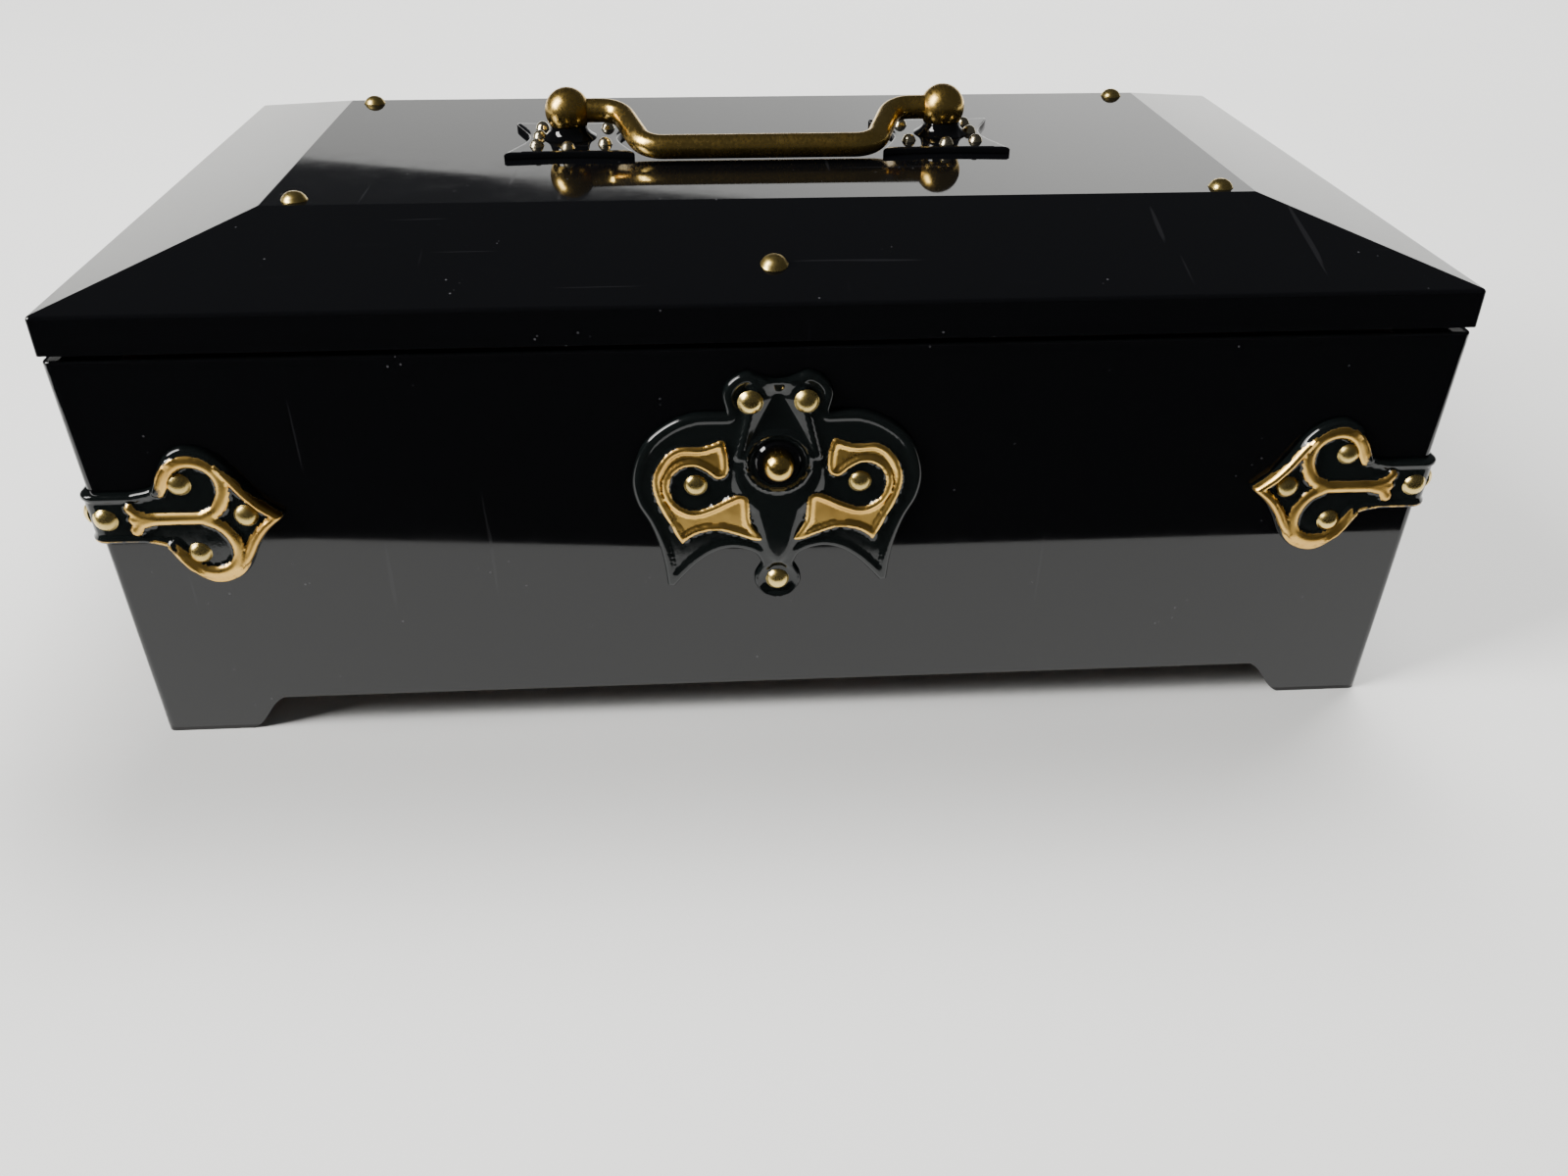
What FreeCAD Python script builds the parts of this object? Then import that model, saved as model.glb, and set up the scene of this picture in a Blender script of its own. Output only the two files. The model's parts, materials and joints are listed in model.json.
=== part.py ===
import FreeCAD, Part
import math
import os

# Wind-up music box: a black moulded box with a hipped lid, brass mounts, a bail handle and a
# key-wound movement with a pinned cylinder and a steel comb.
# Millimetres. The origin is the centre of the footprint, in the plane of the feet. X runs
# along the box, -Y points out of the front, +Z is up.

# ---------------------------------------------------------------- lid and body
lid_length = 190.0
lid_width = 116.0
lid_rim_height = 5.2
lid_rise = 6.3
plateau_inset_x = 23.6
plateau_inset_y = 25.5
lid_wall = 2.4
lid_gap = 0.8
lid_edge_round = 0.6
body_height = 61.0
body_inset = 0.2
body_draft = 1.5
body_wall = 2.6
body_corner_round = 1.2
body_edge_round = 0.4
foot_rise = 5.7
foot_length = 13.0
foot_curve = 5.5
foot_toe_share = 0.18

# ---------------------------------------------------------------- bottom panel
panel_low = 13.0
panel_thickness = 2.5
panel_clearance = 0.2
ledge_width = 2.0
ledge_height = 2.0
post_half = 2.8
post_height = 12.0
post_from_wall = 2.9
screw_shank_radius = 1.0
screw_head_radius = 2.0
screw_head_height = 1.1
screw_slot_width = 0.5
small_head_radius = 1.6
small_shank_radius = 0.7
panel_screw_length = 10.0
key_hole_radius = 2.4

# ---------------------------------------------------------------- hinges
hinge_from_end = 38.0
hinge_leaf_width = 16.0
hinge_leaf_thickness = 0.8
hinge_body_leaf_height = 9.5
hinge_lid_leaf_height = 5.0
hinge_knuckle_radius = 1.5
hinge_pin_radius = 0.7
hinge_pin_clearance = 0.04
hinge_knuckle_gap = 0.3
hinge_wall_gap = 0.1
hinge_screw_spacing = 9.0
hinge_body_screw_drop = 5.2
hinge_screw_shank_radius = 0.7
hinge_screw_head_radius = 1.3
hinge_screw_head_height = 0.5
hinge_screw_length = 2.9

# ---------------------------------------------------------------- brass nails and rivets
rivet_head_radius = 1.9
rivet_head_height = 1.3
rivet_shank_radius = 1.0
rivet_clinch_radius = 1.7
rivet_clinch_height = 0.5
rivet_seat_clearance = 0.3
rivet_inset_x = 4.4
rivet_inset_y = 2.5
slope_rivet_from_edge = 9.0
nail_head_radius = 1.75
nail_head_height = 1.15
nail_shank_radius = 0.6
nail_length = 3.2

# ---------------------------------------------------------------- corner fittings
fitting_height = 37.9
fitting_thickness = 1.2
fitting_strap_half = 3.9
fitting_strap_length = 6.2
fitting_side = [(9.0, 4.7), (10.4, 7.1), (12.0, 9.4), (14.4, 10.6), (17.3, 10.1), (19.5, 8.4)]
fitting_point = [(21.2, 5.4), (23.3, 2.3)]
fitting_reach = 25.9
fitting_nails = [(1.9, 0.0), (13.0, 5.3), (13.2, -5.6), (20.8, 0.2)]

# ---------------------------------------------------------------- escutcheon and push button
escutcheon_thickness = 1.2
escutcheon_top = [(1.4, 56.7), (2.6, 57.2), (4.2, 57.7), (6.3, 56.7), (7.5, 54.6), (7.0, 51.8)]
escutcheon_wing = [(11.6, 51.7), (15.6, 50.0), (18.7, 46.9), (20.2, 42.3), (19.8, 38.4), (18.1, 34.8),
                   (16.9, 31.0), (16.3, 27.6)]
escutcheon_spike = [(16.0, 24.4), (15.0, 24.2)]
escutcheon_hem = [(13.6, 25.9), (11.4, 28.2), (8.9, 29.9), (6.2, 30.4), (3.4, 29.5), (2.2, 27.6)]
escutcheon_dip = 56.5
boss_height = 24.9
boss_radius = 3.4
boss_round = 1.0
escutcheon_nails = [(3.8, 53.6), (-3.8, 53.6), (11.5, 41.0), (-11.5, 41.0), (0.0, 24.9)]
button_height = 44.4
button_radius = 2.15
button_reach = 4.5
button_dome = 1.9
button_clearance = 0.08
button_shoulder_radius = 3.2
button_shoulder = 0.6
button_travel = 2.0
sleeve_radius = 2.8
sleeve_flange_radius = 3.3
sleeve_flange = 0.6
sleeve_lift = 0.15
stem_radius = 1.2
stem_clearance = 0.08

# ---------------------------------------------------------------- catch
strike_gap = 1.0
strike_thickness = 0.8
strike_width = 7.0
strike_foot_tail = 3.5
strike_drop = 7.0
strike_window_width = 4.4
strike_window = (1.6, 4.2)
latch_gap = 1.2
latch_thickness = 1.0
latch_width = 8.0
latch_below = 5.0
latch_nose_width = 3.6
latch_nose_height = 1.2
latch_nose_clearance = 0.3
bracket_thickness = 0.8
bracket_half_width = 6.4
bracket_foot = 3.0
bracket_half_height = 4.6
bracket_wall_gap = 0.15
spring_length = 3.8
spring_wire_radius = 0.2
spring_coil_radius = 1.75
spring_turns = 4
spring_runs_per_turn = 16
spring_end_gap = 0.1

# ---------------------------------------------------------------- bail handle
ball_radius = 3.6
ball_height = 5.1
ball_half_spacing = 30.2
ball_neck_radius = 1.5
ball_collar_radius = 2.4
ball_collar_height = 0.9
bail_radius = 1.83
bail_clearance = 0.06
bail_end_depth = 2.2
bail_straight_end = 25.0
bail_bend_radius = 4.2
bail_bend_angle = 70.0
bail_slant_length = 6.3
bail_rest_gap = 0.17
plate_thickness = 1.2
plate_inward = 10.7
plate_outward = 9.5
plate_half_depth = 10.0
plate_end_hollow = 3.0
plate_side_hollow = 0.7
stud_head_radius = 1.2
stud_head_height = 1.5
stud_shank_radius = 0.5
stud_outward = 4.8
stud_inward = 5.9
stud_outer_rows = [-5.4, 0.3, 6.0]
stud_inner_rows = [-4.8, 5.6]
stud_front_inward = 0.2
stud_front_y = -7.0

# ---------------------------------------------------------------- linings
tray_thickness = 1.4
tray_half_depth_back = 49.5
tray_front = 51.3
tray_end_from_wall = 5.6
tray_corner_round = 6.0
tray_flange_below_edge = 2.5
tray_flange_thickness = 1.2
tray_flange_gap = 0.3
catch_box_half = 11.0
catch_box_depth = 9.2
partition_x = -41.5
lining_thickness = 1.4
lining_recess = 1.2
lining_gap = 1.0
lining_catch_half = 8.0
lining_catch_depth = 9.0

# ---------------------------------------------------------------- movement: bedplate and arbors
movement_x = -70.4
movement_y = 0.0
bedplate_left = 13.5
bedplate_right = 26.0
bedplate_front = 29.5
bedplate_back = 35.2
bedplate_thickness = 2.5
bedplate_round = 3.0
bedplate_screw_inset = 3.2
bedplate_screw_length = 4.4
shaft_clearance = 0.05
axial_gap = 0.3
cut_over = 1.0

# ---------------------------------------------------------------- movement: winding and barrel
barrel_offset = 16.0
winding_radius = 1.6
winding_thread_radius = 1.5
winding_core_radius = 2.4
winding_top = 30.5
winding_bottom = 4.5
ratchet_teeth = 12
ratchet_radius = 6.0
ratchet_root = 5.0
ratchet_thickness = 1.2
barrel_radius = 10.2
barrel_wall = 0.7
barrel_floor = 0.8
barrel_height = 7.3
mainspring_thickness = 0.3
mainspring_inner = 2.9
mainspring_pitch = 0.72
mainspring_turns = 8
mainspring_side_gap = 0.5
crown_teeth = 48
crown_mesh_radius = 10.5
crown_inner = 9.6
crown_outer = 11.5
crown_disc = 0.8
key_hub_radius = 3.0
key_hub_top = 12.2
key_hub_bevel = 1.0
key_wing_span = 22.0
key_wing_thickness = 2.2
key_wing_low = 1.6
key_wing_high = 9.4
key_wing_hole = 2.3

# ---------------------------------------------------------------- movement: click
click_pivot_x = -9.6
click_pivot_y = 7.8
click_pivot_radius = 0.8
click_post_head_radius = 1.3
click_post_head_height = 0.5
click_eye_radius = 1.7
click_thickness = 1.0
click_arm_width = 1.5
click_tooth_clearance = 0.22
click_lift_gap = 0.1
click_tip_half = 0.25
click_nose_length = 2.4
click_spring_foot_radius = 1.2
click_spring_thickness = 0.35
click_spring_length = 8.0
click_spring_height = 1.2
click_spring_gap = 1.25

# ---------------------------------------------------------------- movement: cylinder and train
tooth_share = 0.36
tooth_root_share = 0.45
tooth_tip_share = 0.198
tooth_addendum = 0.75
tooth_dedendum = 1.0
pinion_width = 1.4
arbor_radius = 1.0
cylinder_radius = 6.3
cylinder_start = -1.8
cylinder_length = 18.0
cylinder_dish = 1.0
cylinder_rim = 0.6
cylinder_hub_radius = 2.5
crown_pinion_teeth = 12
cylinder_wheel_teeth = 40
cylinder_wheel_module = 0.40
cylinder_wheel_start = 17.2
wheel_thickness = 1.2
window_count = 5
window_edge = 0.9
window_share = 0.42
first_pinion_teeth = 10
first_pinion_angle = 205.8
first_wheel_teeth = 36
first_wheel_module = 0.35
first_wheel_start = 22.1
second_pinion_teeth = 12
second_pinion_angle = -19.5
worm_wheel_teeth = 18
worm_module = 0.40
worm_pitch_radius = 1.1
worm_turns = 4
worm_root_share = 0.432
worm_tip_share = 0.216
worm_plane = 25.0
small_arbor_radius = 0.7
worm_pivot_radius = 0.5
pin_radius = 0.18
pin_height = 0.6
pins_per_track = 7
pin_angle_step = 137.5

# ---------------------------------------------------------------- movement: comb
comb_teeth = 18
comb_pitch = 0.95
comb_slot = 0.25
comb_thickness = 1.0
comb_tip_gap = 0.15
comb_tooth_length = 10.0
comb_heel_length = 7.0
comb_base_length = 8.0
comb_base_side = 1.6
comb_screw_count = 3
comb_screw_depth = 2.2

# ---------------------------------------------------------------- movement: brackets and brake
bracket_plate = 1.2
front_bracket_y = -3.9
rear_bracket_y = 20.0
bracket_above_axis = 3.2
front_bracket_half = 4.2
bracket_foot_length = 6.0
foot_screw_out = 2.7
rear_screw_aside = 3.0
governor_screw_aside = 6.0
frame_edge = 2.4
governor_plate_y = 28.6
governor_half = 2.0
brake_low = 29.4
brake_high = 35.2
brake_radius = 3.1
brake_hub_radius = 1.1
brake_vane = 0.4
stop_rod_radius = 0.6
stop_rod_offset = 2.9
stop_rod_clearance = 0.06
stop_knob_radius = 1.6
stop_knob_height = 1.5
hood_wall = 1.2
hood_from_wall = 2.6
hood_top = 46.0
hood_half_depth = 46.0
hood_to_partition = 1.4
hood_guide_radius = 1.8
hood_guide_height = 5.0

# ---------------------------------------------------------------- levels that follow from the sizes
lid_low = body_height + lid_gap
rim_top = lid_low + lid_rim_height
plateau = rim_top + lid_rise
plate_inner = ball_half_spacing - plate_inward
plate_outer = ball_half_spacing + plate_outward
stud_outer_x = ball_half_spacing + stud_outward
stud_inner_x = ball_half_spacing - stud_inward
stud_front_x = ball_half_spacing - stud_front_inward
body_half_x = lid_length / 2 - body_inset
body_half_y = lid_width / 2 - body_inset
draft_angle = math.degrees(math.atan(body_draft / body_height))
slope_angle = math.degrees(math.atan(lid_rise / plateau_inset_y))
panel_high = panel_low + panel_thickness
hinge_axis_y = lid_width / 2 + hinge_knuckle_radius + hinge_wall_gap
hinge_axis_z = body_height + lid_gap / 2
bedplate_high = panel_high + bedplate_thickness
ratchet_low = bedplate_high + axial_gap
barrel_low = ratchet_low + ratchet_thickness + axial_gap
crown_low = barrel_low + barrel_height
crown_module = 2 * crown_mesh_radius / crown_teeth
crown_top = crown_low + crown_disc + (tooth_addendum + tooth_dedendum) * crown_module
cylinder_z = crown_top - tooth_addendum * crown_module + crown_module * crown_pinion_teeth / 2
barrel_y = movement_y - barrel_offset
first_distance = cylinder_wheel_module * (cylinder_wheel_teeth + first_pinion_teeth) / 2
second_distance = first_wheel_module * (first_wheel_teeth + second_pinion_teeth) / 2
worm_distance = worm_module * worm_wheel_teeth / 2 + worm_pitch_radius
slope_wall = lid_wall * (math.cos(math.radians(slope_angle)) + math.sin(math.radians(slope_angle)))


def vec(x, y, z):
    return FreeCAD.Vector(x, y, z)


def block(low, high):
    size = [b - a for a, b in zip(low, high)]
    return Part.makeBox(size[0], size[1], size[2], vec(*low))


def rod(radius, start, end):
    axis = vec(*end) - vec(*start)
    return Part.makeCylinder(radius, axis.Length, vec(*start), axis)


def post(radius, place, low, high):
    """An upright round rod at (x, y) between two heights."""
    return rod(radius, (place[0], place[1], low), (place[0], place[1], high))


def cross_rod(radius, place, front, back):
    """A round rod along Y at (x, z) between two depths."""
    return rod(radius, (place[0], front, place[1]), (place[0], back, place[1]))


def rectangle(half_x, half_y, z):
    corners = [(-half_x, -half_y), (half_x, -half_y), (half_x, half_y), (-half_x, half_y)]
    return Part.makePolygon([vec(x, y, z) for x, y in corners + corners[:1]])


def frustum(low_half, z_low, high_half, z_high):
    rings = [rectangle(*low_half, z_low), rectangle(*high_half, z_high)]
    return Part.makeLoft(rings, True, True)


def turned(profile):
    """A solid of revolution about Z from (radius, height) points."""
    points = [vec(r, 0, z) for r, z in profile + profile[:1]]
    face = Part.Face(Part.makePolygon(points))
    return face.revolve(vec(0, 0, 0), vec(0, 0, 1), 360)


def headed_pin(head_radius, head_height, shank_radius, length):
    """A domed nail or rivet: the head stands on z = 0 and the shank points down."""
    ball_radius = (head_radius ** 2 + head_height ** 2) / (2 * head_height)
    ball_level = head_height - ball_radius
    half_angle = math.asin(head_radius / ball_radius) / 2
    mid_height = ball_level + ball_radius * math.cos(half_angle)
    crown_mid = vec(ball_radius * math.sin(half_angle), 0, mid_height)
    crown = Part.Arc(vec(head_radius, 0, 0), crown_mid, vec(0, 0, head_height)).toShape()
    shank = [(0, head_height), (0, -length), (shank_radius, -length), (shank_radius, 0), (head_radius, 0)]
    sides = Part.makePolygon([vec(r, 0, z) for r, z in shank])
    face = Part.Face(Part.Wire(sides.Edges + [crown]))
    return face.revolve(vec(0, 0, 0), vec(0, 0, 1), 360)


def slotted_screw(head_radius, head_height, shank_radius, length):
    """A cheese-head screw: the head stands on z = 0 and the shank points down."""
    head = rod(head_radius, (0, 0, 0), (0, 0, head_height))
    slot = block((-head_radius, -screw_slot_width / 2, head_height / 2),
                 (head_radius, screw_slot_width / 2, head_height))
    return head.cut(slot).fuse(rod(shank_radius, (0, 0, -length), (0, 0, 0)))


def stand(shape, point, outward):
    """A copy of a piece drawn along +Z at the origin, set on a point and turned to a direction."""
    placed = shape.copy()
    placed.Placement = FreeCAD.Placement(vec(*point), FreeCAD.Rotation(vec(0, 0, 1), vec(*outward)))
    return placed


def mirrored(shape):
    return shape.mirror(vec(0, 0, 0), vec(1, 0, 0))


def moved(shape, x, y, z):
    copy = shape.copy()
    copy.translate(vec(x, y, z))
    return copy


def turned_about(shape, point, axis, angle):
    copy = shape.copy()
    copy.rotate(vec(*point), vec(*axis), angle)
    return copy


def face_inset(z):
    """How far the drafted wall stands in from its top edge at a height."""
    return body_draft * (body_height - z) / body_height


def front_y(z):
    return -(body_half_y - face_inset(z))


def inner_half_x(z):
    return body_half_x - face_inset(z) - body_wall


def inner_half_y(z):
    return body_half_y - face_inset(z) - body_wall


def on_front(shape):
    """Lay a piece, drawn with its back on the plane y = 0 and facing -Y, on the drafted front."""
    laid = moved(shape, 0, -body_half_y, 0)
    laid.rotate(vec(0, -body_half_y, body_height), vec(1, 0, 0), draft_angle)
    return laid


def on_back(shape):
    return turned_about(on_front(shape), (0, 0, 0), (0, 0, 1), 180)


def on_side(shape, side):
    """The same for an end wall: drawn x = 0 comes to the middle of the end."""
    laid = moved(shape, 0, -body_half_x, 0)
    laid.rotate(vec(0, -body_half_x, body_height), vec(1, 0, 0), draft_angle)
    return turned_about(laid, (0, 0, 0), (0, 0, 1), 90 * side)


def plane_outline(start, strokes):
    """A closed wire on the plane y = 0. A stroke of one point is a line, of more a smooth curve."""
    edges = []
    here = start
    for stroke in strokes:
        points = [vec(x, 0, z) for x, z in [here] + stroke]
        if len(stroke) == 1:
            edges.append(Part.makeLine(points[0], points[1]))
        else:
            curve = Part.BSplineCurve()
            curve.interpolate(points)
            edges.append(curve.toShape())
        here = stroke[-1]
    return Part.Wire(edges)


def all_of(shapes):
    return Part.makeCompound(shapes)


def joined(shapes):
    return shapes[0].multiFuse(shapes[1:]).removeSplitter()


# ---------------------------------------------------------------- lid
def lid_outer():
    half = (lid_length / 2, lid_width / 2)
    top = (half[0] - plateau_inset_x, half[1] - plateau_inset_y)
    rim = block((-half[0], -half[1], lid_low), (half[0], half[1], rim_top))
    shell = rim.fuse(frustum(half, rim_top, top, plateau))
    upper = [edge for edge in shell.Edges if edge.BoundBox.ZMax > lid_low + lid_edge_round]
    return shell.makeFillet(lid_edge_round, upper)


def lid_inner():
    half = (lid_length / 2 - lid_wall, lid_width / 2 - lid_wall)
    top = (half[0] - plateau_inset_x, half[1] - plateau_inset_y)
    rim = block((-half[0], -half[1], lid_low - lid_wall), (half[0], half[1], rim_top - lid_wall))
    return rim.fuse(frustum(half, rim_top - lid_wall, top, plateau - lid_wall))


def plateau_rivet_places():
    x = lid_length / 2 - plateau_inset_x - rivet_inset_x
    y = lid_width / 2 - plateau_inset_y - rivet_inset_y
    return [((i * x, j * y, plateau), (0, 0, 1)) for i in (-1, 1) for j in (-1, 1)]


def slope_rivet_place():
    tilt = math.radians(slope_angle)
    y = -lid_width / 2 + slope_rivet_from_edge
    z = rim_top + slope_rivet_from_edge * math.tan(tilt)
    return ((0, y, z), (0, -math.sin(tilt), math.cos(tilt)))


def lid_rivet_hole_cutters():
    shank = rod(rivet_shank_radius, (0, 0, -3 * lid_wall), (0, 0, lid_wall))
    seat = rod(rivet_clinch_radius + rivet_seat_clearance, (0, 0, -3 * lid_wall), (0, 0, -lid_wall))
    seated = [stand(shank.fuse(seat), *place) for place in plateau_rivet_places()]
    return seated + [stand(shank, *slope_rivet_place())]


def ball_places():
    return [(side * ball_half_spacing, 0, plateau) for side in (-1, 1)]


def lid_shell():
    shell = lid_outer().cut(lid_inner())
    drills = lid_rivet_hole_cutters()
    for place in ball_places():
        drills.append(stand(rod(ball_neck_radius, (0, 0, -3 * lid_wall), (0, 0, 0)), place, (0, 0, 1)))
    for x, y in stud_places():
        drills.append(rod(stud_shank_radius, (x, y, plateau - 3 * lid_wall), (x, y, plateau)))
    for place in hinge_screw_places("lid"):
        drills.append(stand(hinge_screw_drill(), *place))
    return shell.cut(all_of(drills))


def lid_rivets():
    plain_length = lid_wall
    grip_length = slope_wall + strike_thickness
    plain = headed_pin(rivet_head_radius, rivet_head_height, rivet_shank_radius, plain_length)
    gripping = headed_pin(rivet_head_radius, rivet_head_height, rivet_shank_radius, grip_length)
    clinch = rod(rivet_clinch_radius, (0, 0, -rivet_clinch_height), (0, 0, 0))
    rivets = []
    for place in plateau_rivet_places():
        rivets.append(stand(plain.fuse(moved(clinch, 0, 0, -plain_length)), *place))
    rivets.append(stand(gripping.fuse(moved(clinch, 0, 0, -grip_length)), *slope_rivet_place()))
    return all_of(rivets)


def strike_blade_y():
    """The outer face of the strike blade, just inside the front wall."""
    return front_y(body_height) + body_wall + strike_gap


def lid_strike():
    place, outward = slope_rivet_place()
    half = strike_width / 2
    y = strike_blade_y()
    reach = (place[1] - y) / math.cos(math.radians(slope_angle))
    foot = block((-half, -reach, -slope_wall - strike_thickness), (half, strike_foot_tail, -slope_wall))
    foot = stand(foot, place, outward)
    low = body_height - strike_drop
    blade = block((-half, y, low), (half, y + strike_thickness, plateau))
    above = block((-lid_width, -lid_width, -slope_wall), (lid_width, lid_width, lid_width))
    trim = stand(above, place, outward)
    window = block((-strike_window_width / 2, y - strike_gap, low + strike_window[0]),
                   (strike_window_width / 2, y + 2 * strike_thickness, low + strike_window[1]))
    drill = stand(rod(rivet_shank_radius, (0, 0, -3 * lid_wall), (0, 0, 0)), place, outward)
    return foot.fuse(blade).cut(all_of([trim, window, drill])).removeSplitter()


def lid_lining():
    half_x = lid_length / 2 - lid_wall - lining_gap
    half_y = lid_width / 2 - lid_wall - lining_gap
    low = lid_low + lining_recess
    pad = block((-half_x, -half_y, low), (half_x, half_y, low + lining_thickness))
    notch = block((-lining_catch_half, -half_y, low),
                  (lining_catch_half, -half_y + lining_catch_depth, low + lining_thickness))
    return pad.cut(notch)


# ---------------------------------------------------------------- bail handle
def stud_places():
    rows = [(stud_outer_x, y) for y in stud_outer_rows]
    rows += [(stud_inner_x, y) for y in stud_inner_rows]
    rows += [(stud_front_x, stud_front_y)]
    return [(side * x, y) for side in (-1, 1) for x, y in rows]


def handle_plate():
    """The right-hand plate under a ball: four flared corners between hollow edges."""
    mid_x = (plate_inner + plate_outer) / 2
    corners = [(plate_inner, -plate_half_depth), (plate_outer, -plate_half_depth),
               (plate_outer, plate_half_depth), (plate_inner, plate_half_depth)]
    hollows = [(mid_x, -plate_half_depth + plate_side_hollow), (plate_outer - plate_end_hollow, 0),
               (mid_x, plate_half_depth - plate_side_hollow), (plate_inner + plate_end_hollow, 0)]
    edges = []
    for start, middle, end in zip(corners, hollows, corners[1:] + corners[:1]):
        points = [vec(x, y, plateau) for x, y in (start, middle, end)]
        edges.append(Part.Arc(*points).toShape())
    plate = Part.Face(Part.Wire(edges)).extrude(vec(0, 0, plate_thickness))
    drills = [rod(stud_shank_radius, (x, y, plateau), (x, y, plateau + plate_thickness))
              for x, y in stud_places() if x > 0]
    drills.append(moved(post(ball_neck_radius, (0, 0), 0, plate_thickness), *ball_places()[1]))
    return plate.cut(all_of(drills))


def plate_studs():
    length = plate_thickness + lid_wall
    stud = headed_pin(stud_head_radius, stud_head_height, stud_shank_radius, length)
    return all_of([moved(stud, x, y, plateau + plate_thickness) for x, y in stud_places()])


def ball_post():
    """The right-hand ball with its neck, bored from the inner side for the end of the bail."""
    x, y, z = ball_places()[1]
    centre = z + ball_height
    ball = Part.makeSphere(ball_radius, vec(x, y, centre))
    neck = rod(ball_neck_radius, (x, y, z - lid_wall), (x, y, centre))
    collar = rod(ball_collar_radius, (x, y, z + plate_thickness),
                 (x, y, z + plate_thickness + ball_collar_height))
    clinch = rod(rivet_clinch_radius + ball_neck_radius / 2, (x, y, z - lid_wall - rivet_clinch_height),
                 (x, y, z - lid_wall))
    mouth = x - ball_radius
    bore = rod(bail_radius + bail_clearance, (mouth - ball_radius, y, centre),
               (mouth + bail_end_depth + bail_clearance, y, centre))
    return joined([ball, neck, collar, clinch]).cut(bore)


def bail_path():
    """Half of the bail's centre line as (x, offset) runs and arcs, from the ball to the middle."""
    angle = math.radians(bail_bend_angle)
    radius = bail_bend_radius
    end_x = ball_half_spacing - ball_radius + bail_end_depth
    points = [(end_x, 0.0), (bail_straight_end, 0.0)]
    for share in (0.5, 1.0):
        points.append((bail_straight_end - radius * math.sin(angle * share),
                       radius * (1 - math.cos(angle * share))))
    x, offset = points[-1]
    x -= bail_slant_length * math.cos(angle)
    offset += bail_slant_length * math.sin(angle)
    points.append((x, offset))
    for share in (0.5, 1.0):
        turn = angle * (1 - share)
        points.append((x - radius * (math.sin(angle) - math.sin(turn)),
                       offset + radius * (math.cos(turn) - math.cos(angle))))
    return points


def handle_bail():
    points = bail_path()
    drop = ball_height - bail_radius - bail_rest_gap
    reach = points[-1][1]
    lean = math.asin(drop / reach)
    centre = plateau + ball_height
    spots = [vec(x, -offset * math.cos(lean), centre - offset * math.sin(lean)) for x, offset in points]
    half = [Part.makeLine(spots[0], spots[1]), Part.Arc(spots[1], spots[2], spots[3]).toShape(),
            Part.makeLine(spots[3], spots[4]), Part.Arc(spots[4], spots[5], spots[6]).toShape()]
    other = [edge.mirror(vec(0, 0, 0), vec(1, 0, 0)) for edge in half]
    bar = Part.makeLine(spots[6], vec(-spots[6].x, spots[6].y, spots[6].z))
    path = Part.Wire(Part.__sortEdges__(half + [bar] + other))
    start = path.OrderedVertexes[0].Point
    section = Part.Wire(Part.makeCircle(bail_radius, start, vec(1, 0, 0)))
    return path.makePipeShell([section], True, False)


# ---------------------------------------------------------------- body
def foot_cutter(half_length, half_depth):
    """Cuts the skirt of the two long walls between their feet."""
    flat = half_length - foot_length
    top = flat - foot_curve
    middle = flat - foot_curve / 2
    below = -foot_rise
    toe = foot_rise * foot_toe_share
    curve = [(middle + foot_curve / 4, toe), (middle, foot_rise / 2),
             (middle - foot_curve / 4, foot_rise - toe), (top, foot_rise)]
    back = [(-x, z) for x, z in reversed(curve[:-1])] + [(-flat, 0)]
    floor = [[(-flat, below)], [(flat, below)], [(flat, 0)]]
    wire = plane_outline((flat, 0), [curve, [(-top, foot_rise)], back] + floor)
    arch = Part.Face(wire).extrude(vec(0, 2 * half_depth, 0))
    return moved(arch, 0, -half_depth, 0)


def body_shell():
    low_half = (body_half_x - body_draft, body_half_y - body_draft)
    outer = frustum(low_half, 0, (body_half_x, body_half_y), body_height)
    uprights = [edge for edge in outer.Edges if edge.BoundBox.ZLength > body_height / 2]
    outer = outer.makeFillet(body_corner_round, uprights)
    rim = [edge for edge in outer.Edges if edge.BoundBox.ZMin > body_height - body_edge_round]
    outer = outer.makeFillet(body_edge_round, rim)
    below = -foot_rise
    above = body_height + foot_rise
    inner = frustum((inner_half_x(below), inner_half_y(below)), below,
                    (inner_half_x(above), inner_half_y(above)), above)
    wall_x = inner_half_x(panel_high)
    wall_y = inner_half_y(panel_high)
    ledge = block((-wall_x - body_wall / 2, -wall_y - body_wall / 2, panel_high),
                  (wall_x + body_wall / 2, wall_y + body_wall / 2, panel_high + ledge_height))
    opening = block((-wall_x + ledge_width, -wall_y + ledge_width, 0),
                    (wall_x - ledge_width, wall_y - ledge_width, body_height))
    shell = joined([outer.cut(inner), ledge.cut(opening)] + screw_posts())
    arches = [foot_cutter(low_half[0], lid_width)]
    arches.append(turned_about(foot_cutter(low_half[1], lid_length), (0, 0, 0), (0, 0, 1), 90))
    drills = [post(screw_shank_radius, place, panel_high, panel_low + panel_screw_length)
              for place in post_places()]
    y = front_y(button_height)
    drills.append(cross_rod(sleeve_radius, (0, button_height), y - body_wall, y + 2 * body_wall))
    for place in nail_places() + hinge_screw_places("body"):
        drills.append(stand(nail_drill() if place in nail_places() else hinge_screw_drill(), *place))
    return shell.cut(all_of(arches + drills))


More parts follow.
